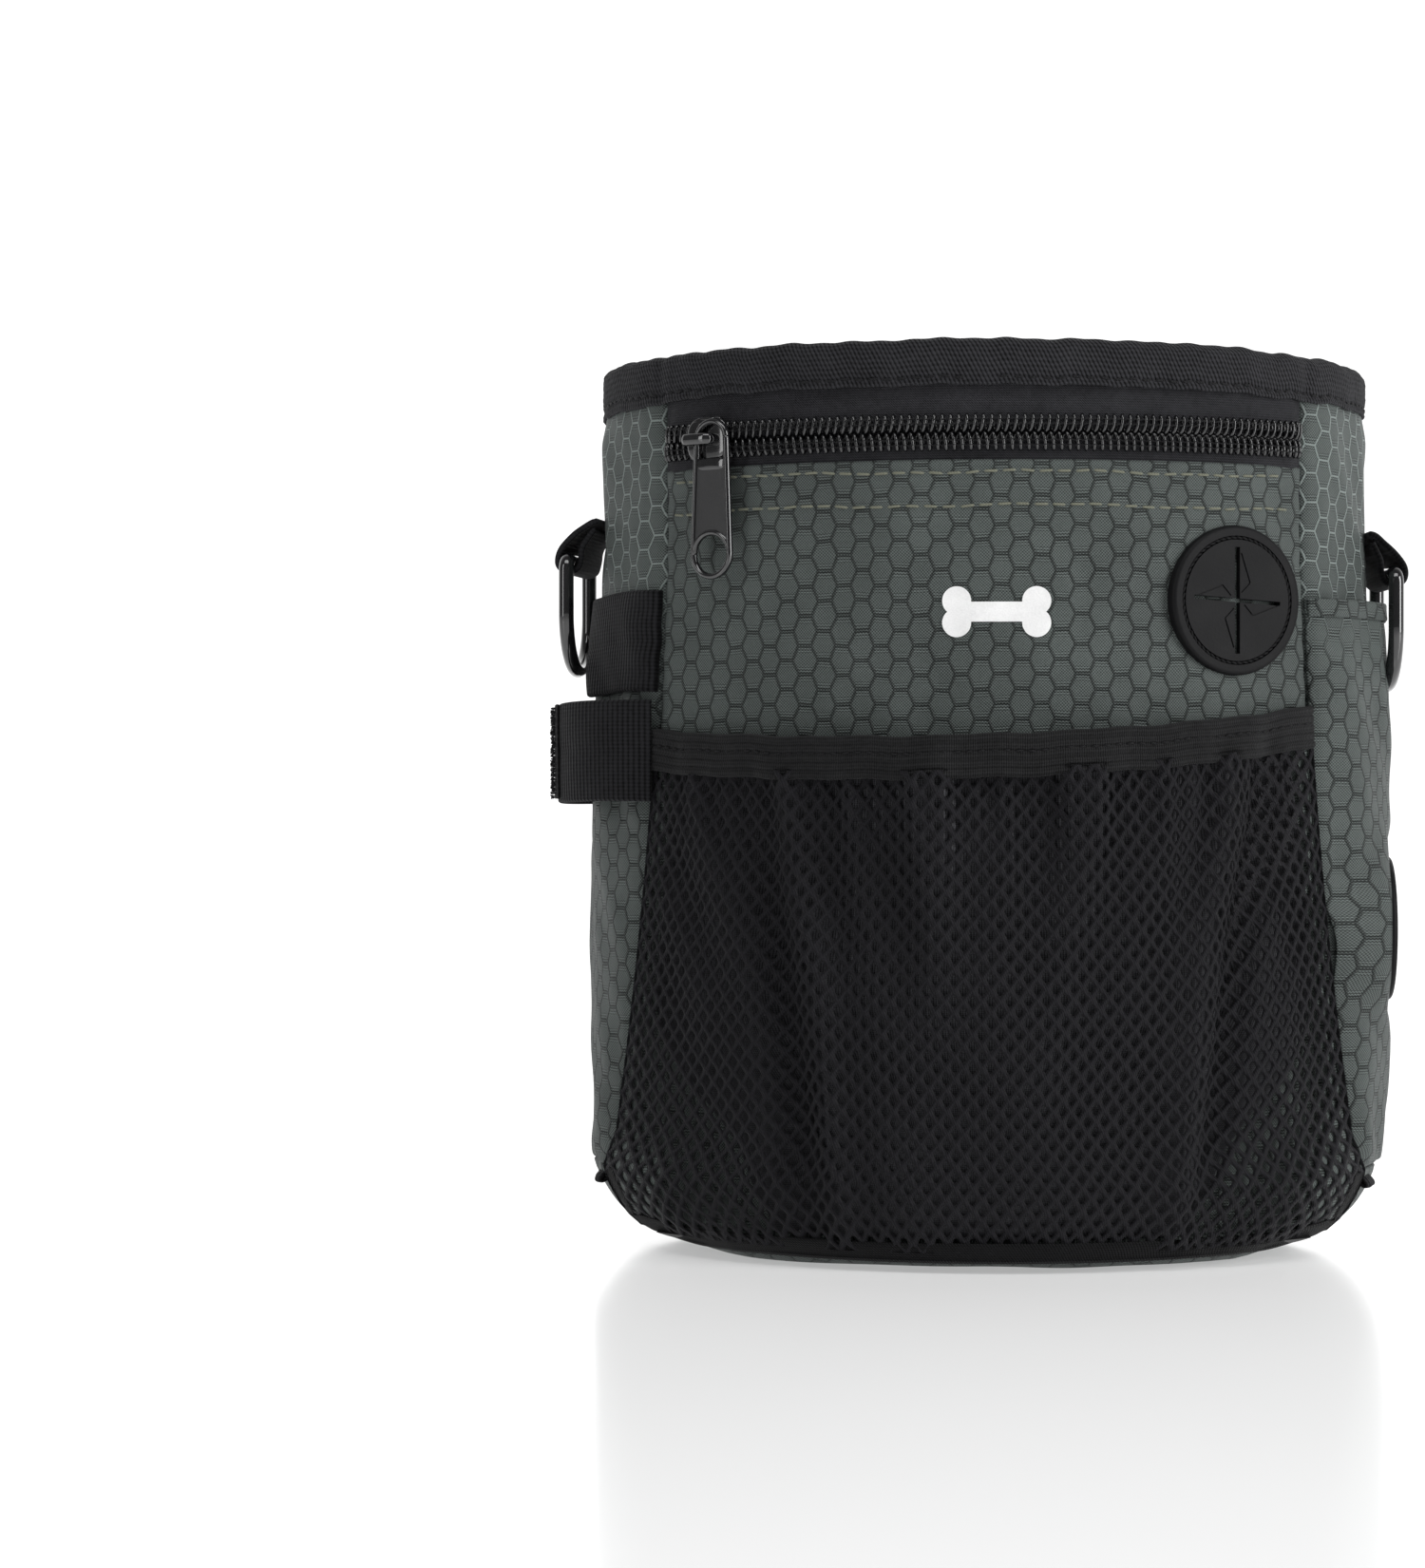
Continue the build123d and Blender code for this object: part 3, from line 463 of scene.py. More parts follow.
def woven(name, colour, rib, cross, depth=0.25, rough=0.75, along="u", twill=0.0, painted_highlight_level=2.1):
    """Ribbed narrow fabric: ribs of one pitch, crossed by finer threads of another. Its colour follows the weave's
    height, raised ribs and threads lighter and hollows darker: the weave's pattern together with a painted highlight
    and painted shade, up to the highest tint times the base colour.
    """
    sh = Shader(name, colour, rough, Sheen_Weight=0.05, Sheen_Roughness=0.45, Specular_IOR_Level=0.08)
    u, v = sh.xy(sh.flat())
    if along == "v":
        u, v = v, u
    if twill:
        u = u + v * twill
    threads = (sh.wave(v, cross) + 1.0) * 0.5
    grain = sh.noise(sh.flat(), 2.2, 4.0, 0.7)
    height = abs(sh.wave(u, 2 * rib)) * 0.7 + threads * 0.3 + grain * 0.35
    blotch = sh.noise(sh.flat(), 0.12) * 0.3 + sh.noise(sh.flat(), 0.7, 5.0, 0.75) * 0.45
    # Painted highlight and painted shade: lighter where the weave stands up, darker in its hollows, with random
    # blotches of tone.
    sh.tint(sh.span(height * 0.6 + blotch, 0.42, 1.15), 0.05, painted_highlight_level)
    sh.roughen(grain, rough - 0.12, rough + 0.1)
    return sh.raise_by(height, depth)


def moulded(name, colour, rough, grain_pitch, depth, spread=0.08, **sockets):
    """Solid plastic, rubber or painted metal with a fine grain and slight wear of its gloss."""
    sh = Shader(name, colour, rough, **sockets)
    grain = sh.noise(sh.place(), 1 / grain_pitch, 5.0, 0.65)
    smudge = sh.noise(sh.place(), 0.11)
    sh.tint(smudge * 0.6 + grain * 0.4, 0.6, 1.4)
    sh.roughen(smudge, rough - spread, rough + spread)
    return sh.raise_by(grain, depth, 0.7)


def net_yarn():
    sh = Shader("net_yarn", (0.0094, 0.0091, 0.0110), 0.48, Sheen_Weight=0.03, Sheen_Roughness=0.4,
                Specular_IOR_Level=0.12)
    u, v = sh.xy(sh.flat())
    strands = abs(sh.wave(u + v * 0.4, 0.9))
    grain = sh.noise(sh.flat(), 3.0, 4.0, 0.7)
    sh.tint(strands * 0.5 + grain * 0.5, 0.5, 1.6)
    sh.roughen(grain, 0.45, 0.75)
    return sh.raise_by(strands + grain, 0.12)


def thread(name, colour):
    sh = Shader(name, colour, 0.6, Sheen_Weight=0.03, Specular_IOR_Level=0.15)
    u, v = sh.xy(sh.flat())
    twist = abs(sh.wave(u + v * 1.1, 1.1))
    sh.tint(twist, 0.6, 1.35)
    return sh.raise_by(twist, 0.1)


# Front, back and base ripstop: its raised threads carry painted shade.
RIPSTOP = ripstop("ripstop", 0.5, 0.27)
# Copy of the ripstop for the gussets and side pocket: its raised threads carry a painted highlight near the top
# instead of painted shade.
PAINTED_RIDGE_LIGHT_RIPSTOP = ripstop("ripstop_painted_ridge_light", -1.9, 0.34)
# Woven tapes: their raised weave carries a painted highlight, strongest on the binding.
BINDING = woven("binding_tape", (0.0090, 0.0090, 0.0100), 0.9, 1.0, depth=0.45, twill=0.5, painted_highlight_level=4.0)
WEBBING, LONG_WEBBING = (
    woven(name, (0.0068, 0.0068, 0.0076), 1.15, 0.8, depth=0.38, along=along, painted_highlight_level=2.9)
    for name, along in (("webbing", "u"), ("webbing_long", "v")))
HEM_TAPE = woven("hem_tape", (0.0042, 0.0042, 0.0046), 0.62, 0.8, twill=0.5)
ZIP_TAPE = woven("zip_tape", (0.0150, 0.0150, 0.0168), 0.5, 0.5, depth=0.2, rough=0.65, twill=1.0, painted_highlight_level=2.8)
ELASTIC = woven("elastic", (0.0100, 0.0100, 0.0105), 0.45, 0.7, depth=0.15, rough=0.6)
TAFFETA = woven("taffeta", (0.020, 0.020, 0.022), 0.4, 0.4, depth=0.08, rough=0.5)
# Dark sheet behind the net: painted shade for the shadow inside the pocket.
NET_PAINTED_SHADE_SHEET = woven("net_painted_shade_sheet", (0.029, 0.029, 0.032), 0.4, 0.4, depth=0.08, rough=0.5)
HOOKS = woven("hook_tape", (0.010, 0.010, 0.011), 1.1, 1.3, depth=0.4, rough=0.85)
NET = net_yarn()
OLIVE_THREAD = thread("olive_thread", (0.165, 0.17, 0.130))
BLACK_THREAD = thread("black_thread", (0.009, 0.009, 0.010))
NYLON = moulded("coil_nylon", (0.005, 0.005, 0.006), 0.16, 1.5, 0.02, Coat_Weight=0.6)
GLOSS_METAL = moulded("gloss_black_metal", (0.006, 0.006, 0.007), 0.12, 1.2, 0.01, spread=0.05, Coat_Weight=0.9,
                      Specular_IOR_Level=0.6)
PULLER_METAL = moulded("satin_black_metal", (0.015, 0.015, 0.016), 0.36, 0.35, 0.12, Coat_Weight=0.1)
RUBBER = moulded("port_rubber", (0.0080, 0.0080, 0.0086), 0.48, 0.6, 0.06, Specular_IOR_Level=0.09)
CLIP = moulded("clip_acetal", (0.014, 0.014, 0.015), 0.42, 0.45, 0.05, Specular_IOR_Level=0.3)
FOAM = moulded("foam", (0.05, 0.05, 0.05), 0.8, 0.8, 0.2)
BOARD = moulded("board", (0.03, 0.03, 0.03), 0.5, 1.0, 0.05)
STEEL = moulded("spring_steel", (0.5, 0.5, 0.5), 0.35, 2.0, 0.02, Metallic=1.0)
PRINT_WHITE = moulded("white_print", (0.82, 0.82, 0.82), 0.5, 0.35, 0.05, spread=0.05)


# ---- sewn walls
SMALLEST_CUT = 10.0


def sewn(obj, node, size, held, *rests_on, share=1.0):
    """Hides the model's part that the sheet stands in for, and works out its cut size and share, which nothing uses.
    Share is the part of that rectangle that is cloth.
    """
    if node:
        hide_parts(node)
    cut = [max(side, SMALLEST_CUT) for side in size]
    share = share * size[0] * size[1] / (cut[0] * cut[1])


def sheet(name, node, at, size, counts, thick, material, slot, held, *rests_on, **more):
    """Cloth of the size that it's cut to."""
    sewn(cloth(name, at, size, counts, thick, material, slot, **more), node, size, held, *rests_on)


def front_span(gap=0.0):
    """The front from seam to seam, less a gap at both."""
    return lambda z: (gap - front_seam(z), front_seam(z) - gap)


def back_span(gap=0.0):
    """The back from seam to seam, less a gap at both."""
    return lambda z: (BACK_SEAM + gap + 0 * z, ROUND - BACK_SEAM - gap + 0 * z)


def side_span(side, front=0.0, back=0.0):
    """A gusset from its front seam to its back seam, less a gap at each."""
    def span(z):
        low, high = front_seam(z) + front, BACK_SEAM - back + 0 * z
        return (low, high) if side > 0 else (-high, -low)
    return span


def placed(span, foot, tall):
    """From (u, v) to the place (s, z) on the wall between a span's edges."""
    def place(u, v):
        z = foot + v * tall
        low, high = span(z)
        return low + u * (high - low), z
    return place


def wall_sheet(name, span, z_range, insets, counts, material, slot, loose=1.0, edge=0.6, narrow=None):
    """Sheet on the wall between a span's edges. Returns it and its size."""
    height = z_range[1] - z_range[0]
    low, high = span((z_range[0] + z_range[1]) / 2)
    size = (float(high - low), height)
    place = placed(span, z_range[0], height)

    def at(u, v, depth):
        s, z = place(u, v)
        return wall(s, z, insets[0] + depth, loose, narrow(s, z) if narrow else 1.0)

    thick = insets[1] - insets[0]
    return cloth(name, at, size, counts, thick, material, slot, edge=edge, uv=place), size


def walls():
    for name, node, span, z_range, thick, counts, material, under in (
        ("panel_front", "front_panel", front_span(), (6.7, 163.1), 1.4, (230, 230), RIPSTOP, "wall_lining"),
        ("gusset_left", "left_gusset", side_span(-1), (16.9, 183.0), 2.2, (120, 230), PAINTED_RIDGE_LIGHT_RIPSTOP, "wall_lining"),
        ("gusset_right", "right_gusset", side_span(1), (16.9, 183.0), 2.2, (120, 230), PAINTED_RIDGE_LIGHT_RIPSTOP, "wall_lining"),
        ("panel_back", "back_panel", back_span(), (6.7, 183.0), 1.4, (190, 230), RIPSTOP, "back_pad"),
    ):
        obj, size = wall_sheet(name, span, z_range, (0.0, thick), counts, material, "ripstop", edge=0.9)
        sewn(obj, node, size, "stretched", under)


def drawn_in(p, share):
    """Points in plan, brought in towards the middle of the base."""
    return BASE_MIDDLE + (p[..., :2] - BASE_MIDDLE) * np.clip(share, 0.03, 1)[..., None]


def bottom_panel():
    """The base and its turned-up edges: rows run from near the middle of the base to the seams."""
    flat_part = 0.72

    def top(s):
        a = np.abs(wrapped(s))
        seam = front_seam(CORNER_SEAM[1] - 2)
        rise = smooth(a, seam - 0.7, seam + 0.7) * (1 - smooth(a, BACK_SEAM - 0.6, BACK_SEAM + 0.8))
        return 6.8 + 10.2 * rise

    def at(u, v, depth):
        s = u * ROUND
        lift = np.clip((v - flat_part) / (1 - flat_part), 0, 1)
        z = lift * top(s)
        flat = drawn_in(wall(s, np.maximum(z, 0.001), depth, lift), v / flat_part)
        sag = 0.25 * (1 - lift) * (1 + ripple(flat[..., 0], flat[..., 1], (37, 21, 13), 5))
        return join([flat, (z + depth * (1 - lift) + sag)[..., None]], -1)

    def uv(u, v):
        p = at(u, v, 0 * u)
        return p[..., 0], p[..., 1]

    obj = cloth("panel_base", at, (ROUND, 44.0), (360, 44), 2.2, RIPSTOP, "ripstop", closed=True, uv=uv, tall=70.0)
    sewn(obj, "bottom_panel", (166, 92), "stretched", "base_board")


def linings():
    """Lining of the wall and base in one, rear wall of the zip pocket, and the pad behind the back panel."""
    floor_part, tall = 0.22, 178.0

    def at(u, v, depth):
        s = u * ROUND
        floor = np.clip(v / floor_part, 0, 1)
        z = 4.6 + np.clip((v - floor_part) / (1 - floor_part), 0, 1) * tall
        inset = 5.0 + 0.4 * floor + depth - 0.5 * ripple(s, 0.4 * z, (61, 37, 23), 31)
        flat = drawn_in(wall(s, np.maximum(z, 8.0), inset, 0.8), floor)
        return join([flat, (z + depth * (1 - floor))[..., None]], -1)

    obj = cloth("wall_lining", at, (ROUND, 222.0), (300, 110), 0.6, TAFFETA, "lining", closed=True, tall=tall)
    sewn(obj, "lining_bag", (ROUND, 210.0), "hung", "rim_tape")
    obj, size = wall_sheet("pocket_wall", front_span(1), (10.0, 182.0), (2.6, 3.2), (60, 70), TAFFETA, "lining",
                           loose=0.9)
    sewn(obj, "zip_pocket_back", size, "hung", "rim_tape")
    obj, _ = wall_sheet("back_pad", back_span(1.5), (9.0, 181.0), (1.6, 3.9), (60, 70), FOAM, "foam", edge=1.1)
    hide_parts("back_foam")


def rim_binding():
    """Tape folded over the rim; v runs up the outside, over and down the inside."""
    outside, inside = -0.9, 5.7
    half, middle = (inside - outside) / 2, (inside + outside) / 2
    fold = 2.4
    straight = 9.6 - fold
    total = 2 * straight + 2 * half + fold

    def at(u, v, depth):
        s = (u - 0.5) * ROUND
        run = v * total
        arc = np.clip((run - straight) / (total - 2 * straight), 0, 1) * pi
        inset = middle - (half - depth) * np.cos(arc)
        up = (fold - depth) * np.sin(arc)
        drop = np.where(run < straight, run - straight, np.minimum(total - straight - run, 0))
        pucker = 0.22 * ripple(s, 3 * run, (5.3, 4.1, 3.4), 41) + 0.3 * ripple(s, run, (23, 13, 9), 42)
        pinch = 0.35 * hump(drop, 1.7 - straight, 0.7)
        p = wall(s, 181.0 + 0 * s, inset + np.where(inset < middle, 1, -1) * (pinch - 0.5 * pucker), 0.5)
        p[..., 2] = rim_line(s) - fold + up + drop * (1 + 0.16 * smooth(-p[..., 0], 50, 82))
        return p

    sheet("rim_tape", "rim_binding", at, (ROUND, total), (560, 46), 0.8, BINDING, "webbing", "folded", "wall_lining",
          closed=True)


def stitch_row(name, runs, pitch, gap, radius, material, slot="webbing"):
    """Separate stitches along runs: each is a length and a function at(t) -> (points, directions outwards)."""
    rng = np.random.RandomState(len(name))
    parts = np.linspace(0, 1, 7)
    bow = 0.12 * np.sin(parts * pi) ** 0.5 - 0.22 * (np.abs(parts - 0.5) * 2) ** 6
    lines, ups = [], []
    for length, at in runs:
        t = 0.0
        while t + pitch < length:
            long = pitch - gap + rng.uniform(-0.12, 0.12)
            p, n = at(t + parts * long)
            p = p + n * bow[:, None]
            p[:, 2] += rng.uniform(-0.12, 0.12) * np.linspace(-1, 1, 7)
            lines.append(p)
            ups.append(n)
            t += pitch
    tubes(name, lines, ups, radius, material, slot, sides=6)


def on_wall(z_at, s0, s1, out=0.0, loose=1.0):
    """Run of stitches on the wall's outer face, at a height that may vary along it."""
    def at(t):
        s = s0 + np.sign(s1 - s0) * t
        return wall(s, z_at(s) + 0 * s, -out, loose), outward(s)
    return abs(s1 - s0), at


def stitches():
    wander = lambda z: (lambda s: z + 0.25 * np.sin(s / 9) + 0.12 * np.sin(s / 3.1))
    rows = [on_wall(wander(160.6), -70, 70), on_wall(wander(153.9), -71, 71)]
    stitch_row("panel_stitches", rows, 3.7, 0.6, 0.27, OLIVE_THREAD, slot="ripstop")
    under_rim = lambda s: rim_line(s) - 8.1
    seams = [on_wall(under_rim, end * HALF_ROUND, 0.0, out=0.6, loose=0.5) for end in (0.999, -0.999)]
    stitch_row("rim_stitches", seams, 2.9, 0.8, 0.26, BLACK_THREAD)


# ---- zip
def zip_tapes():
    for name, z_range, inset in (("upper", (ZIP_Z + 0.5, 184.0), 1.0), ("lower", (156.0, ZIP_Z - 0.5), 0.95)):
        obj, size = wall_sheet(f"tape_{name}", front_span(0.4), z_range, (inset, 1.5), (160, 24), ZIP_TAPE,
                               "webbing", loose=0.0, edge=0.3, narrow=zip_narrow)
        sewn(obj, f"zipper_tape_{name}", size, "stretched", "panel_front")


COIL_TURNS = 87
COIL_PITCH = 1.65
COIL_OFF = 1.82  # from the zip's middle to a coil's axis


def zip_coils():
    t = np.arange(COIL_TURNS * 16 + 1) / 16
    phase = 2 * pi * t
    for side, name in ((1, "upper"), (-1, "lower")):
        s = (t - COIL_TURNS / 2) * COIL_PITCH + side * COIL_PITCH / 4 + 0.22 * np.sin(phase)
        p = zip_point(s, ZIP_Z + side * (COIL_OFF - 1.72 * np.cos(phase)), 0.06 + 0.64 * np.sin(phase))
        axis = zip_point(s, ZIP_Z + side * COIL_OFF + 0 * s, 0.06)
        obj = tubes(f"coil_{name}", [p], [p - axis], 0.34, NYLON, "coil")
        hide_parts(f"zipper_coil_{name}")
    t = np.arange(COIL_TURNS * 6 + 1) / 6
    phase = 2 * pi * t
    s = (t - COIL_TURNS / 2) * COIL_PITCH
    lines = [zip_point(s, ZIP_Z + side * (2.1 + row) + 0.12 * np.sin(phase), 0.83 + 0.2 * np.cos(phase))
             for side in (1, -1) for row in (0.525, -0.525)]
    tubes("coil_stitches", lines, [outward(s)] * 4, 0.15, BLACK_THREAD, "webbing", sides=5)


SLIDER = on_arc(asin(-55.0 / FRONT_R), ZIP_Z)
PULL_X = 2.2  # the puller hangs on the bail's near foot
PULL_OUT = 3.5  # middle of the puller's thickness
PULL_EYE = 3.6  # half width of its frame at the eye
PULL_HOLE = 4.5  # half width at the ring round its hole
PULL_LONG = 23.6  # from the one's centre to the other's
FIELD_HALF = 3.75
FIELD_TOP = -5.2


def on_slider(p):
    """From the slider's own axes (along the zip, up, outwards) to the pouch's frame."""
    p = np.asarray(p, float)
    origin, along, out = SLIDER
    return origin + p[..., :1] * along + p[..., 1:2] * np.array([0, 0, 1.0]) + p[..., 2:] * out


def pillows(name, blocks, body):
    """Rounded blocks in the slider's axes: (centre, half sizes, squareness in plan, squareness in section)."""
    points, faces, uvs, start = [], [], [], 0
    n, m = 48, 25
    a, b = np.meshgrid(np.linspace(0, 2 * pi, n, endpoint=False), np.linspace(-pi / 2, pi / 2, m))
    power = lambda c, k: np.sign(c) * np.abs(c) ** (2 / k)
    for centre, half, square, crown in blocks:
        ring = power(np.cos(b), crown)
        p = np.stack([ring * power(np.cos(a), square), ring * power(np.sin(a), square), power(np.sin(b), crown)], -1)
        p = np.array(centre) + p * np.array(half)
        r, c = quads(m, n, True)
        f = r * n + c % n
        points.append(on_slider(p).reshape(-1, 3))
        faces.append(start + f)
        uvs.append(p.reshape(-1, 3)[f][..., :2])
        start += n * m
    return weld(piece(name, *map(join, (points, faces, uvs)), GLOSS_METAL, body, "gloss_metal"))


def slider_parts():
    flange = [((0, 4.3 * side, 0.9), (2.9, 0.42, 1.5), 5.0, 3.0) for side in (-1, 1)]
    obj = pillows("slider_body", [
        ((0, 0, 1.95), (5.0, 4.7, 0.62), 3.0, 2.6), ((-2.6, 0, 2.2), (2.3, 3.9, 0.62), 2.6, 2.2), *flange,
        ((-3.4, 0, 0.0), (1.0, 0.35, 2.2), 4.0, 5.0), ((0, 0, -2.25), (4.5, 3.6, 0.45), 3.4, 4.0)], "slider")
    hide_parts("zipper_slider")
    path = np.array([(-4.4, 2.1), (-4.45, 3.2), (-4.3, 4.3), (-3.6, 4.98), (-2.4, 5.12), (-1.1, 5.14),
                     (0.2, 5.12), (1.3, 4.98), (2.0, 4.3), (2.2, 3.2), (2.2, 2.1)])
    fine = np.linspace(0, len(path) - 1, 41)
    x, z = (np.interp(fine, np.arange(len(path)), path[:, k]) for k in (0, 1))
    obj = tubes("slider_bail", [on_slider(np.stack([x, 0 * x, z], -1))], [np.tile([0, 0, 1.0], (41, 1))], 0.58,
                GLOSS_METAL, "gloss_metal", sides=16, body="slider", taper=False, turn=(1.0, 2.0))
    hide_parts("zipper_slider")


def puller_parts():
    top = np.linspace(0, pi, 24)
    end = np.linspace(pi, 2 * pi, 28)
    flat = lambda x, y: on_slider(np.stack([PULL_X + x, y, PULL_OUT + 0 * x], -1))
    eye = [(PULL_EYE * cos(t), PULL_EYE * sin(t)) for t in top]
    left = [(-PULL_EYE - (PULL_HOLE - PULL_EYE) * k, -PULL_LONG * k) for k in np.linspace(0, 1, 24)[1:-1]]
    low = [(PULL_HOLE * cos(t), PULL_HOLE * sin(t) - PULL_LONG) for t in end]
    right = [(-x, y) for x, y in left[::-1]]
    outline = np.array(eye + left + low + right + eye[:2])
    normal = np.tile(SLIDER[2], (len(outline), 1))
    ring = flat(PULL_HOLE * np.cos(top), PULL_HOLE * np.sin(top) - PULL_LONG)
    frame_tube = tubes("puller_frame", [flat(*outline.T), ring], [normal, normal[:len(top)]], 0.66, GLOSS_METAL,
                       "gloss_metal", sides=16, body="puller", taper=False, turn=(1.0, 1.2))
    bar = pillows("puller_bars", [((PULL_X, FIELD_TOP, PULL_OUT), (FIELD_HALF, 1.3, 0.68), 4.0, 2.6)], "puller")

    def field(u, v, depth):
        x = (2 * u - 1) * (FIELD_HALF + 0.6 * v)
        low = np.sqrt(np.clip(PULL_HOLE ** 2 - x ** 2, 0, None)) - PULL_LONG
        return on_slider(np.stack([PULL_X + x, FIELD_TOP + v * (low - FIELD_TOP), 3.92 - depth], -1))

    sunk = cloth("puller_field", field, (2 * FIELD_HALF, 14.0), (40, 60), 0.84, PULLER_METAL, "puller_metal",
                 edge=0.3, body="puller")
    for obj in (frame_tube, bar, sunk):
        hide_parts("zipper_puller")


# ---- net pocket
NET_HALF = 70  # half the net's width along its elastic
FACE_STEP = (1.0, 2.0)


def elastic_rise(x):
    """The elastic climbs towards both seams, more to the right."""
    return 0.0345 * x + 0.00077 * x * x


def net_frame(z):
    """Half width, its place in depth, and the foremost line of the net at height z."""
    half = seam_x(np.clip(z, 3, 188)) - 0.3
    _, y, _, ny = plan(front_seam(np.clip(z, 3, 188)))
    low = np.clip(EDGE_R - z, 0, EDGE_R)
    back = y - ny * (EDGE_R - np.sqrt(EDGE_R ** 2 - low ** 2)) - 0.2
    front = np.interp(z, [3, 12, 30, 60, 99, 110], [-38.4, -41.6, -43.8, -44.0, -43.4, -43.3])
    return half, back, front


def face_table():
    """Depth of the wall's front face over (x, z)."""
    runs = np.linspace(-FRONT_RUN - 25, FRONT_RUN + 25, 500)
    xs, zs = np.arange(-84.0, 84.5, FACE_STEP[0]), np.arange(0.0, 124.0, FACE_STEP[1])
    faces = (wall(runs, z + 0 * runs, 0.0) for z in zs)
    return xs, zs, np.array([np.interp(xs, p[:, 0], p[:, 1]) for p in faces])


FACE_TABLE = face_table()


def face_y(x, z):
    xs, zs, rows = FACE_TABLE
    i = np.clip((x - xs[0]) / FACE_STEP[0], 0, len(xs) - 1.001)
    j = np.clip((z - zs[0]) / FACE_STEP[1], 0, len(zs) - 1.001)
    i0, j0 = i.astype(int), j.astype(int)
    i1, j1 = i - i0, j - j0
    low = rows[j0, i0] * (1 - i1) + rows[j0, i0 + 1] * i1
    high = rows[j0 + 1, i0] * (1 - i1) + rows[j0 + 1, i0 + 1] * i1
    return low * (1 - j1) + high * j1


def net_point(a, z, out, clear=0.35):
    """Point of the net's face, clear of the panel. a runs from -1 at the left seam to 1 at the right one."""
    half, back, front = net_frame(z)
    rise = back - front
    radius = (half ** 2 + rise ** 2) / (2 * rise)
    even_arc = a * np.arcsin(np.clip(half / radius, -1, 1))
    even_x = np.arcsin(np.clip(a * half / radius, -1, 1))
    angle = even_arc + 0.8 * (1 - smooth(z, 22, 58)) * (even_x - even_arc)
    x, y = radius * np.sin(angle), front + radius - radius * np.cos(angle)
    x, y, z = x + out * np.sin(angle), y - out * np.cos(angle), z + 0 * x
    clear = 0.35 + (clear - 0.35) * smooth(70 - np.abs(x), 0, 8)
    gap = face_y(x, z) - clear - np.clip(out, -0.1, 3.0) - y
    lift = np.where(gap < 0, -gap, 0.0) + 0.12 * np.clip(1 - np.abs(gap) / 1.5, 0, 1) ** 2
    return np.stack([x, y - lift, z], -1)


def net_folds(x, z):
    """Creases that run down from the elastic, and small gathers just under it."""
    t = np.clip((99 - z) / 91, 0, 1)
    left, right = -46 + 10 * t, 58 - 12 * t
    depth = -3.4 * hump(x, left + 1, 3.4) - 3.0 * hump(x, right - 1, 3.2)
    depth = depth * (0.35 + 0.65 * smooth(z, 6, 30))
    ridge = 1.3 * hump(x, left + 8, 3.4) + 1.3 * hump(x, right - 8, 3.4)
    fan = x * (1 + 0.35 * smooth(99 - z, 0, 60))
    gather = 3.0 * ripple(fan, 0 * z, (24.0, 15.3, 10.1), 51) * smooth(z, 34, 97) ** 1.3
    gather = gather + ripple(fan, 0.1 * z, (7.1, 5.3), 54) * smooth(z, 78, 98)
    soft = ripple(x, 0.7 * z, (57, 39, 27), 52)
    return (depth + ridge + gather + soft) * smooth(70 - np.abs(x), 0, 9)


def net_pocket():
    """Net of diamond holes: each cell joins a ring on its neighbours' edges to a hole and to a rear ring."""
    across, up = 46, 44
    low, high = 4.2, 101.0

    def place(at, out):
        a = np.clip(at[..., 0] / across - 1, -1, 1)
        x = a * NET_HALF
        z = low + np.clip(at[..., 1] / up, 0, 1) * (high + elastic_rise(x) - low)
        p = net_point(a, z, 0 * a)
        return net_point(a, z, out + net_folds(p[..., 0], z), 1.9)

    centres = np.array([(i, j) for j in range(up + 1) for i in range(2 * across + 1) if (i + j) % 2 == 0], float)
    ring_out = np.array([(1, 0), (0.5, 0.5), (0, 1), (-0.5, 0.5), (-1, 0), (-0.5, -0.5), (0, -1), (0.5, -0.5)])
    ring_in = 0.86 * np.array([(0.5, 0), (0.31, 0.36), (0, 0.6), (-0.31, 0.36), (-0.5, 0), (-0.31, -0.36),
                               (0, -0.6), (0.31, -0.36)])
    k = np.arange(8)
    crown = np.where(k % 2 == 0, 0.42, 0.3)
    n = len(centres)
    jitter = np.random.RandomState(7).uniform(-0.05, 0.05, (n, 1, 2))
    outer = centres[:, None] + ring_out
    inner = centres[:, None] + ring_in + jitter
    points = join([place(outer, crown), place(inner, 0.0), place(outer, -0.7 * crown)], axis=1)
    base = np.arange(n)[:, None] * 24
    k2 = (k + 1) % 8
    band = lambda a, b: np.stack([base + a + k, base + a + k2, base + b + k2, base + b + k], -1).reshape(-1, 4)
    faces = join([band(0, 8), band(8, 16)])
    flat = join([outer, inner, outer], axis=1).reshape(-1, 2) * (1.675, 2.1)
    obj = weld(piece("net", points.reshape(-1, 3), faces, flat[faces], NET, slot="net"))
    sewn(obj, "mesh_pocket", (154, 92), "gathered", "net_elastic", "net_hem", share=0.8)


def net_painted_shade_sheet():
    """Fine dark sheet behind the middle of the net, a painted shade that stands in for the shadow inside the pocket;
    the net's lower corners are left clear.
    """
    def at(u, v, depth):
        z = 7.0 + 93.0 * v
        a = (2 * u - 1) * (0.56 + 0.4 * smooth(z, 8, 58))
        z = z + elastic_rise(NET_HALF * a) * v
        x = net_point(a, z, 0 * a)[..., 0]
        behind = 1.0 + 0.25 * ripple(x, z, (31, 23), 81) + 1.8 * smooth(np.abs(x), 30, 48)
        return net_point(a, z, net_folds(x, z) - behind - depth, 0.4 - depth)

    obj = cloth("net_painted_shade_sheet", at, (120.0, 93.0), (130, 90), 0.4, NET_PAINTED_SHADE_SHEET, "net")
    sewn(obj, None, (136, 93), "hung", "net_elastic", share=0.9)


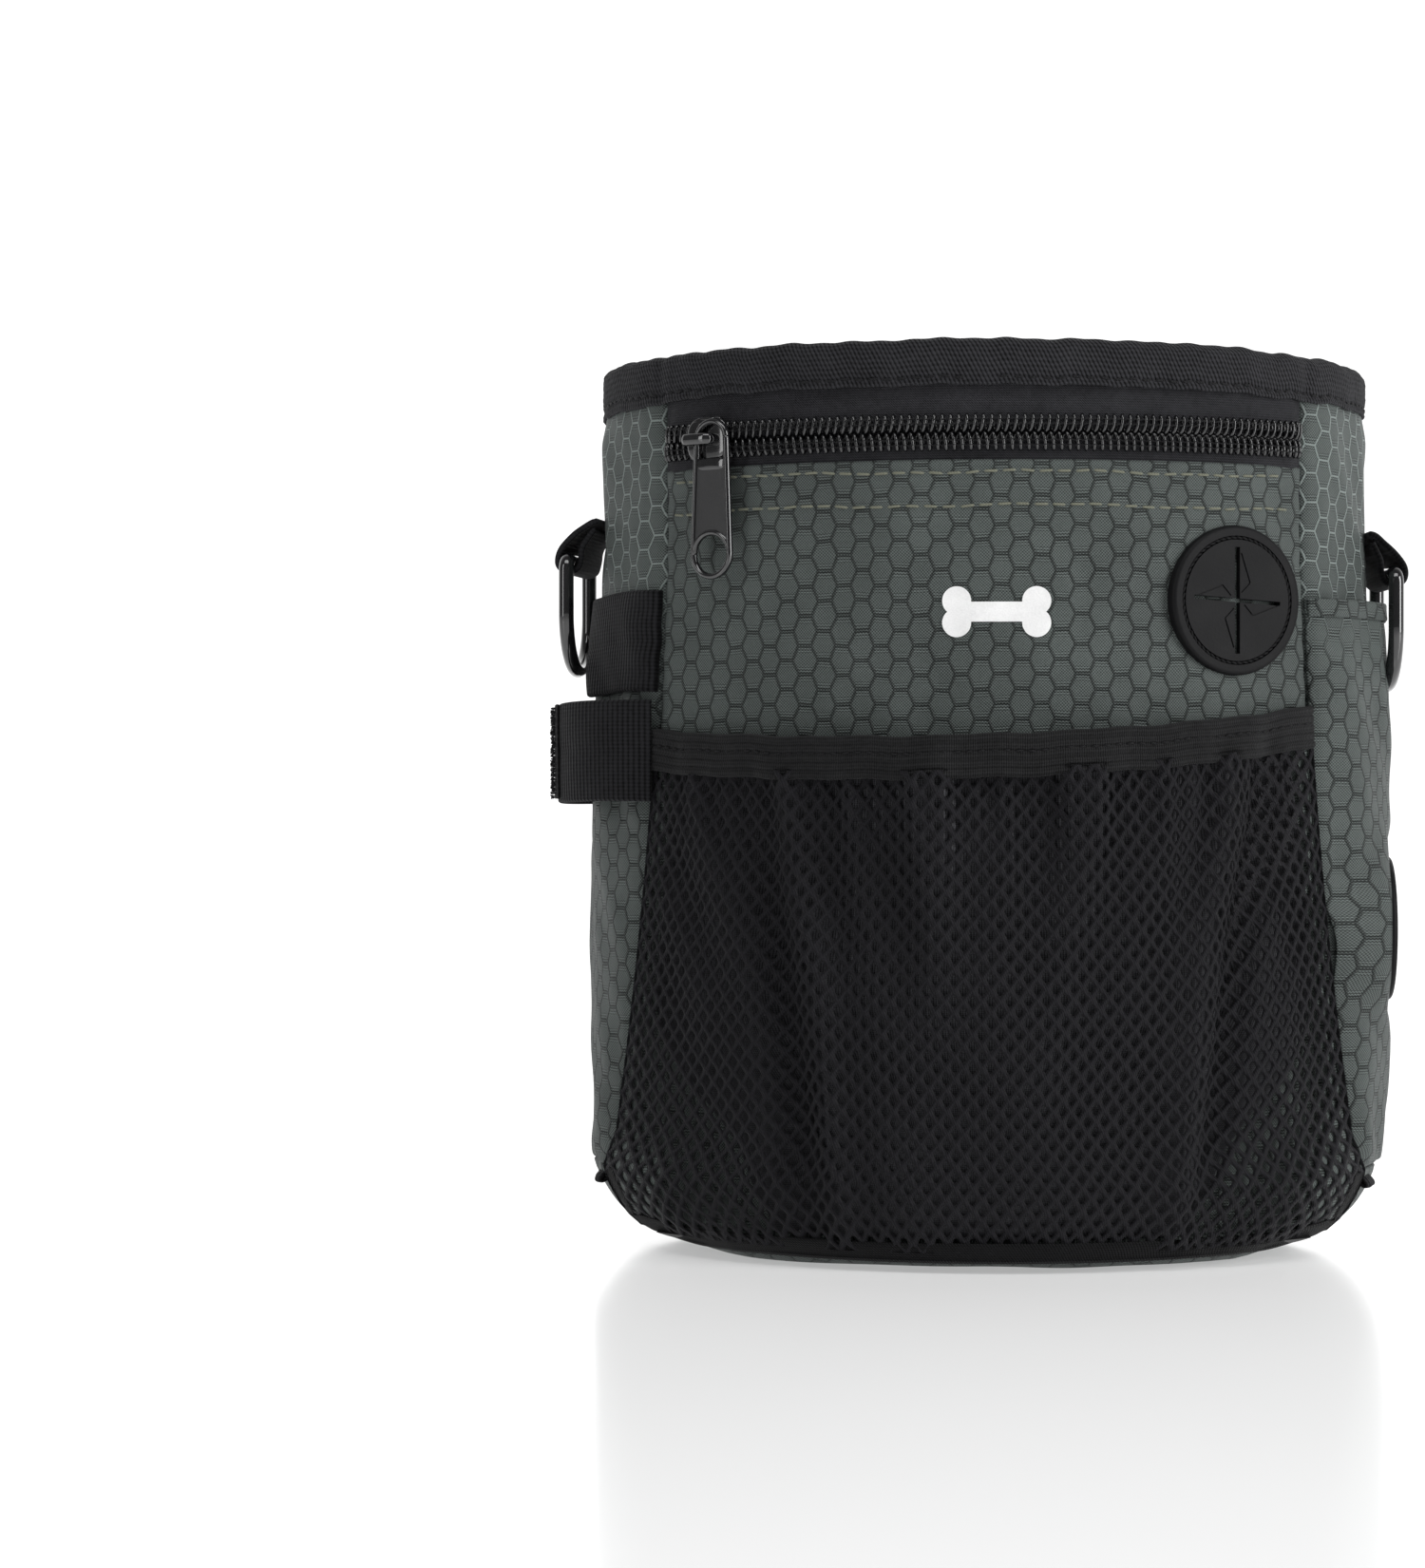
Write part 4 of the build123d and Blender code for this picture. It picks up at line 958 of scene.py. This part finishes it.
def net_bands():
    """Ribbed elastic along the net's mouth, its stitches, and the hem along the net's foot."""
    ribs, tall = 5, 8.8

    def place(a, v):
        x = a * NET_HALF
        z = 99.2 + elastic_rise(x) + tall * v + 0.25 * ripple(x, 0 * x, (19, 11), 61)
        return x, z, net_folds(x, z) * 0.35 * (1 - v)

    def elastic(u, v, depth):
        a = 2 * u - 1
        x, z, lean = place(a, v)
        rib = 0.42 * np.abs(np.sin(pi * ribs * v)) ** 0.7
        return net_point(a, z, 0.9 + lean + 0.25 * ripple(x, 2 * v, (23, 9, 5), 62) + rib - depth)

    band = cloth("net_elastic", elastic, (150.0, tall), (300, 70), 1.5, ELASTIC, "webbing")
    sewn(band, "mesh_elastic_band", (146, tall), "stretched", "panel_front")

    def row(t):
        a = np.clip(t / 75 - 1, -0.985, 0.985)
        _, z, lean = place(a, 0.6)
        p = net_point(a, z, 1.05 + lean)
        return p, net_point(a, z, 2.05 + lean) - p

    stitch_row("elastic_stitches", [(149.0, row)], 2.4, 1.1, 0.2, BLACK_THREAD)

    def hem(u, v, depth):
        side, t = np.sign(2 * u - 1), np.abs(2 * u - 1)
        turn = smooth(t, 0.86, 0.95)
        under = np.clip(1 - v / 0.45, 0, 1) * (1 - turn)
        wide = np.clip((v - 0.35) / 0.65, 0, 1)
        a = side * (np.interp(t, [0, 0.9, 1], [0, 0.985, 0.998]) - 0.03 * turn * wide)
        z = 1.9 + 4.4 * wide * (1 - turn) + 0.4 * under + smooth(t, 0.72, 0.9) + 14.5 * smooth(t, 0.87, 1.02)
        p = net_point(a, z, 0.9 - 0.5 * turn + 0.12 * np.sin(v * pi * 3) - depth * (1 - under))
        p[..., 0] *= 1 - 0.055 * under
        p[..., 1] += 4.8 * under * (1 - 0.7 * t)
        p[..., 2] += depth * under
        return p

    obj = cloth("net_hem", hem, (170.0, 11.0), (260, 30), 0.9, HEM_TAPE, "webbing")
    sewn(obj, "mesh_bottom_hem", (170, 11.0), "folded", "panel_base", share=0.85)


# ---- side pocket, straps and rings
def side_pocket():
    tall, hem_tall = 118.2, 3.8
    place = placed(side_span(1, 0.2, 0.4), 18.0, tall)

    def at(u, v, depth, out=0.9):
        s, z = place(u, v)
        seam = front_seam(z)
        swell = 1.5 * smooth(s, seam, seam + 14) * (1 - smooth(s, BACK_SEAM - 12, BACK_SEAM)) * smooth(z, 17, 42)
        sag = 0.8 * smooth(z, 100, 136) * np.sin(np.clip(u, 0, 1) * pi) * (1 + 0.6 * ripple(s, z, (17, 11), 71))
        out = out + sag - depth
        p = wall(s, z, 0 * s - out - swell)
        near = 1 - smooth(np.hypot(p[..., 1] - SIDE_PORT[0], z - SIDE_PORT[1]), 13.5, 24)
        p[..., 0] += near * (84.7 + out - p[..., 0])
        return p

    def hem(u, v, depth):
        return at(u, 1 - (1 - v) * hem_tall / tall, depth, 1.75)

    sheet("side_pocket", "side_pocket_panel", at, (GUSSET_WIDTH, tall), (120, 170), 0.9, PAINTED_RIDGE_LIGHT_RIPSTOP, "ripstop",
          "hung", "gusset_right", uv=place, tall=118.0)
    sheet("side_pocket_top_hem", "side_pocket_hem", hem, (GUSSET_WIDTH, hem_tall), (120, 14), 0.8, PAINTED_RIDGE_LIGHT_RIPSTOP,
          "ripstop", "folded", "side_pocket")


def arc_through(p, q, r):
    """Centre, radius and the three angles of the circle through three points in plan."""
    (ax, ay), (bx, by), (cx, cy) = p, q, r
    d = 2 * (ax * (by - cy) + bx * (cy - ay) + cx * (ay - by))
    a2, b2, c2 = ax ** 2 + ay ** 2, bx ** 2 + by ** 2, cx ** 2 + cy ** 2
    ux = (a2 * (by - cy) + b2 * (cy - ay) + c2 * (ay - by)) / d
    uy = (a2 * (cx - bx) + b2 * (ax - cx) + c2 * (bx - ax)) / d
    angles = np.unwrap([np.arctan2(y - uy, x - ux) for x, y in (p, q, r)])
    return (ux, uy), np.hypot(ax - ux, ay - uy), angles


def straps():
    """The flat upper strap, the lower one that stands off, and the hook fabric on it."""
    span = side_span(-1, 0.2, 0.5)
    low, high = 117.0, 138.2
    ridge = lambda v: np.abs(np.sin(2 * pi * v)) ** 0.4

    def upper(u, v, depth):
        z = low + v * (high - low) + 0.35 * np.sin(9 * u)
        a, b = span(z)
        return wall(a + u * (b - a), z, -1.2 - 0.6 * np.sin(pi * u) - 0.35 * ridge(v) + depth, 0.9)

    sheet("strap_upper", "left_strap_upper", upper, (GUSSET_WIDTH, high - low), (150, 40), 1.5, WEBBING, "webbing",
          "stretched", "gusset_left")

    centre, radius, angles = arc_through((-68.3, -12.2), (-89.0, 13.0), (-74.0, 35.6))
    run = abs(angles[2] - angles[0]) * radius

    def loop(t, z, out):
        angle = angles[0] + t * (angles[2] - angles[0])
        r = radius + out + 0.4 * np.sin(2 * pi * t) * smooth(z, 94, 110)
        return np.stack([centre[0] + r * np.cos(angle), centre[1] + r * np.sin(angle), z + 0 * t], -1)

    def lower(u, v, depth):
        return loop(u, 94.0 + v * 21.2 + 0.4 * np.sin(5 * u + 1), 1.5 - depth + 0.2 * ridge(v))

    sheet("strap_lower", "left_strap_lower", lower, (run, 21.2), (150, 40), 1.5, WEBBING, "webbing", "hung",
          "gusset_left")

    def patch(u, v, depth):
        return loop(0.42 + 0.53 * u, 94.5 + v * 20.1 + 0.4 * np.sin(5 * u + 1), 2.35 - depth)

    sheet("hook_patch", "left_strap_hook_patch", patch, (run * 0.53, 20.1), (70, 50), 0.7, HOOKS, "hook_fabric",
          "laid", "strap_lower")
    rng = np.random.RandomState(9)
    k = np.linspace(0, 1, 5)
    lines = []
    for _ in range(1300):
        t, z = rng.uniform(0.43, 0.94), rng.uniform(95.0, 114.4)
        tall = rng.uniform(0.75, 1.15)
        lean = rng.uniform(-0.25, 0.25, 2)
        lines.append(loop(t + 0.008 * lean[0] * k + 0.004 * k * k, z + lean[1] * k, 2.2 + tall * np.sin(k * 2.3)))
    ups = [np.tile([0.3, 0.2, 1.0], (5, 1))] * len(lines)
    tubes("hook_patch_hooks", lines, ups, 0.11, HOOKS, "hook_fabric", sides=4)


def folded(points, rounds=3):
    """Length of a path with rounded corners, and a function for points at a distance off it."""
    path = np.array(points, float)
    for _ in range(rounds):
        a, b = path[:-1], path[1:]
        cut = np.stack([0.75 * a + 0.25 * b, 0.25 * a + 0.75 * b], 1).reshape(-1, 2)
        path = np.vstack([path[:1], cut, path[-1:]])
    gone = join([[0], np.cumsum(np.hypot(*np.diff(path, axis=0).T))])

    def spot(run):
        run = np.clip(run, 0, gone[-1])
        return np.stack([np.interp(run, gone, path[:, 0]), np.interp(run, gone, path[:, 1])], -1)

    def off_path(run, off):
        way = spot(run + 0.4) - spot(run - 0.4)
        way = way / np.linalg.norm(way, axis=-1, keepdims=True)
        p = spot(run)
        return p[..., 0] + off * way[..., 1], p[..., 1] - off * way[..., 0]

    return gone[-1], off_path


def ring_tabs():
    """Webbing folded round each ring's bar, with both ends sewn to the body above it."""
    width = 20.0
    for side, name, turn, bar_x, bar_z in ((-1, "left", radians(6.0), 87.3, 146.0),
                                           (1, "right", radians(4.0), 86.2, 142.5)):
        out = np.array([side * cos(turn), sin(turn), 0])
        along = np.array([-out[1], out[0], 0])
        origin = np.array([side * bar_x, 20.0, bar_z])
        deep = bar_x - 80.8
        total, off_path = folded([
            (-deep, 9.0), (-deep + 2.0, 8.5), (-1.3, 6.4), (1.5, 3.9), (3.3, 0.6), (2.7, -2.1), (0, -3.4),
            (-2.7, -2.4), (-3.4, 0.2), (-3.5, 2.6), (-(deep + 3.4) / 2, 4.6), (-deep + 0.2, 6.2)])

        def at(u, v, depth):
            o, h = off_path(v * total, depth)
            w = (u - 0.5) * width + 0.2 * np.sin(v * total * 1.3) * (2 * u - 1)
            p = origin + along * w[..., None] + out * o[..., None]
            p[..., 2] = p[..., 2] + h
            return p

        sheet(f"tab_{name}", f"{name}_d_ring_tab", at, (width, total), (60, 90), 1.3, WEBBING, "webbing", "folded",
              f"{name}_d_ring")


def seam_tabs():
    """Short folded ends of tape caught in the lower corner seams."""
    size = (7.0, 6.6)
    lean = radians(40)
    foot = 15.0
    for side, name in ((-1, "left"), (1, "right")):
        def at(u, v, depth):
            s = side * (front_seam(foot) + 1.0 + u * size[0])
            out = (2.9 - depth) * np.sin(v * pi) ** 0.6
            up = (0.95 - depth) * np.cos(v * pi)
            away = out * cos(lean) + up * sin(lean) - 0.8
            p = wall(s, foot + 0 * s, 0.0) + outward(s) * away[..., None]
            p[..., 2] += up * cos(lean) - out * sin(lean)
            return p

        sheet(f"seam_tab_{name}", "bottom_seam_tabs", at, size, (20, 20), 0.6, WEBBING, "webbing", "folded",
              f"gusset_{name}", edge=0.3)


def clip_strap():
    """Webbing of the belt clip: sewn to the back, out through the lower slot, over the plate and back in."""
    width = 23.6
    y0, y1 = BACK_Y + 0.85, BACK_Y + 4.4
    middle = (y0 + y1) / 2
    total, off_path = folded([
        (y0, 67.0), (y0, 75.0), (y0, 82.0), (y0 + 0.4, 84.2), (middle, 84.8), (y1 - 0.4, 85.4), (y1, 87.6),
        (y1 + 0.25, 98.0), (y1, 108.0), (y1 - 0.4, 110.2), (middle, 110.8), (y0 + 0.4, 111.4), (y0, 113.6),
        (y0, 122.0), (y0, 130.6)], 2)

    def at(u, v, depth):
        y, z = off_path(v * total, 0.7 - depth)
        return np.stack([(u - 0.5) * width, y, z], -1)

    sheet("clip_strap", "clip_webbing", at, (width, total), (60, 150), 1.4, LONG_WEBBING, "webbing", "stretched",
          "panel_back", "clip_plate")


# ---- solid parts keep their shape
def solid_parts():
    for material, names in (
        (GLOSS_METAL, ("left_d_ring", "right_d_ring")),
        (RUBBER, ("front_port", "side_port", "mouth_magnet_front", "mouth_magnet_back")),
        (CLIP, ("clip_plate", "clip_tongue")),
        (STEEL, ("rim_stay_front", "rim_stay_back")),
        (PRINT_WHITE, ("bone_print",)),
        (BOARD, ("base_board",)),
    ):
        for name in names:
            materials = NODES[name].data.materials
            materials.clear()
            materials.append(material)


def port_ropes():
    """Twisted cord moulded into the groove round each port's disc."""
    t = np.linspace(-1, 1, 5)
    r = (12.7 + 0.28 * t)[:, None]
    out = (0.62 + 0.2 * (1 - t * t))[:, None]
    turn = np.linspace(0, 2 * pi, 61)
    up = np.array([0, 0, 1.0])
    for name, axes in (("front", on_arc(PORT[0] / FRONT_R, PORT[1])),
                       ("side", ((85.3, *SIDE_PORT), (0, 1, 0), (1, 0, 0)))):
        centre, along, normal = (np.array(v, float) for v in axes)
        angles = ((middle + t * 0.075)[:, None] for middle in (turn[:-1] + turn[1:]) / 2)
        lines = [centre + r * np.cos(angle) * along + r * np.sin(angle) * up + out * normal for angle in angles]
        tubes(f"port_rope_{name}", lines, [np.tile(normal, (5, 1))] * 60, 0.34, RUBBER, "port_rubber", sides=6)


# ---- studio
def studio():
    """White surroundings for the camera, a pale floor, and three soft lights."""
    scene = bpy.context.scene
    world = bpy.data.worlds.new("studio")
    world.use_nodes = True
    nodes = Nodes(world.node_tree)
    _, towards_back = nodes.xy(nodes.put("TexCoord"))
    glow = nodes.math("MAXIMUM", nodes.put("LightPath"), nodes.span(towards_back, 0.1, 0.8, 0.14, 1.15, "LINEAR"))
    background = world.node_tree.nodes["Background"]
    background.inputs[0].default_value = (1, 1, 1, 1)
    world.node_tree.links.new(glow.socket, background.inputs[1])
    scene.world = world
    scene.view_settings.view_transform = "Standard"

    mesh = bpy.data.meshes.new("floor")
    mesh.from_pydata([(-6, -6, 0), (6, -6, 0), (6, 6, 0), (-6, 6, 0)], [], [(0, 1, 2, 3)])
    floor = add("floor", mesh)
    sh = Shader("floor", (0.93, 0.93, 0.93), 0.14, Emission_Strength=0.36, IOR=1.9, Emission_Color=(1, 1, 1, 1))
    sh.roughen(sh.noise(sh.place(), 0.004, 2.0), 0.12, 0.18)
    mesh.materials.append(sh.mat)
    target = Vector((0, 0, 0.1))
    for name, place, size, power in (
        ("key", (1.0, -0.5, 0.45), (0.4, 0.9), 9.2),
        ("fill", (-0.85, -0.7, 0.45), (0.25, 0.8), 2.1),
        ("top", (0.0, -0.5, 1.0), (0.9, 0.35), 3.4),
    ):
        light = bpy.data.lights.new(name, "AREA")
        light.shape = "RECTANGLE"
        light.size, light.size_y = size
        light.energy = power
        obj = add(name, light)
        obj.location = place
        obj.rotation_euler = (target - Vector(place)).to_track_quat("-Z", "Y").to_euler()
    camera = bpy.data.cameras.new("camera")
    camera.lens = 87.3
    camera.sensor_width = 36.0
    view = add("camera", camera)
    view.location = (0, -0.8, 0.098)
    view.rotation_euler = (radians(90), 0, radians(4.05))
    scene.camera = view


for step in (studio, solid_parts, walls, bottom_panel, linings, rim_binding, stitches, zip_tapes, zip_coils,
             slider_parts, puller_parts, net_pocket, net_painted_shade_sheet, net_bands, side_pocket, straps, ring_tabs,
             seam_tabs, clip_strap, port_ropes):
    step()
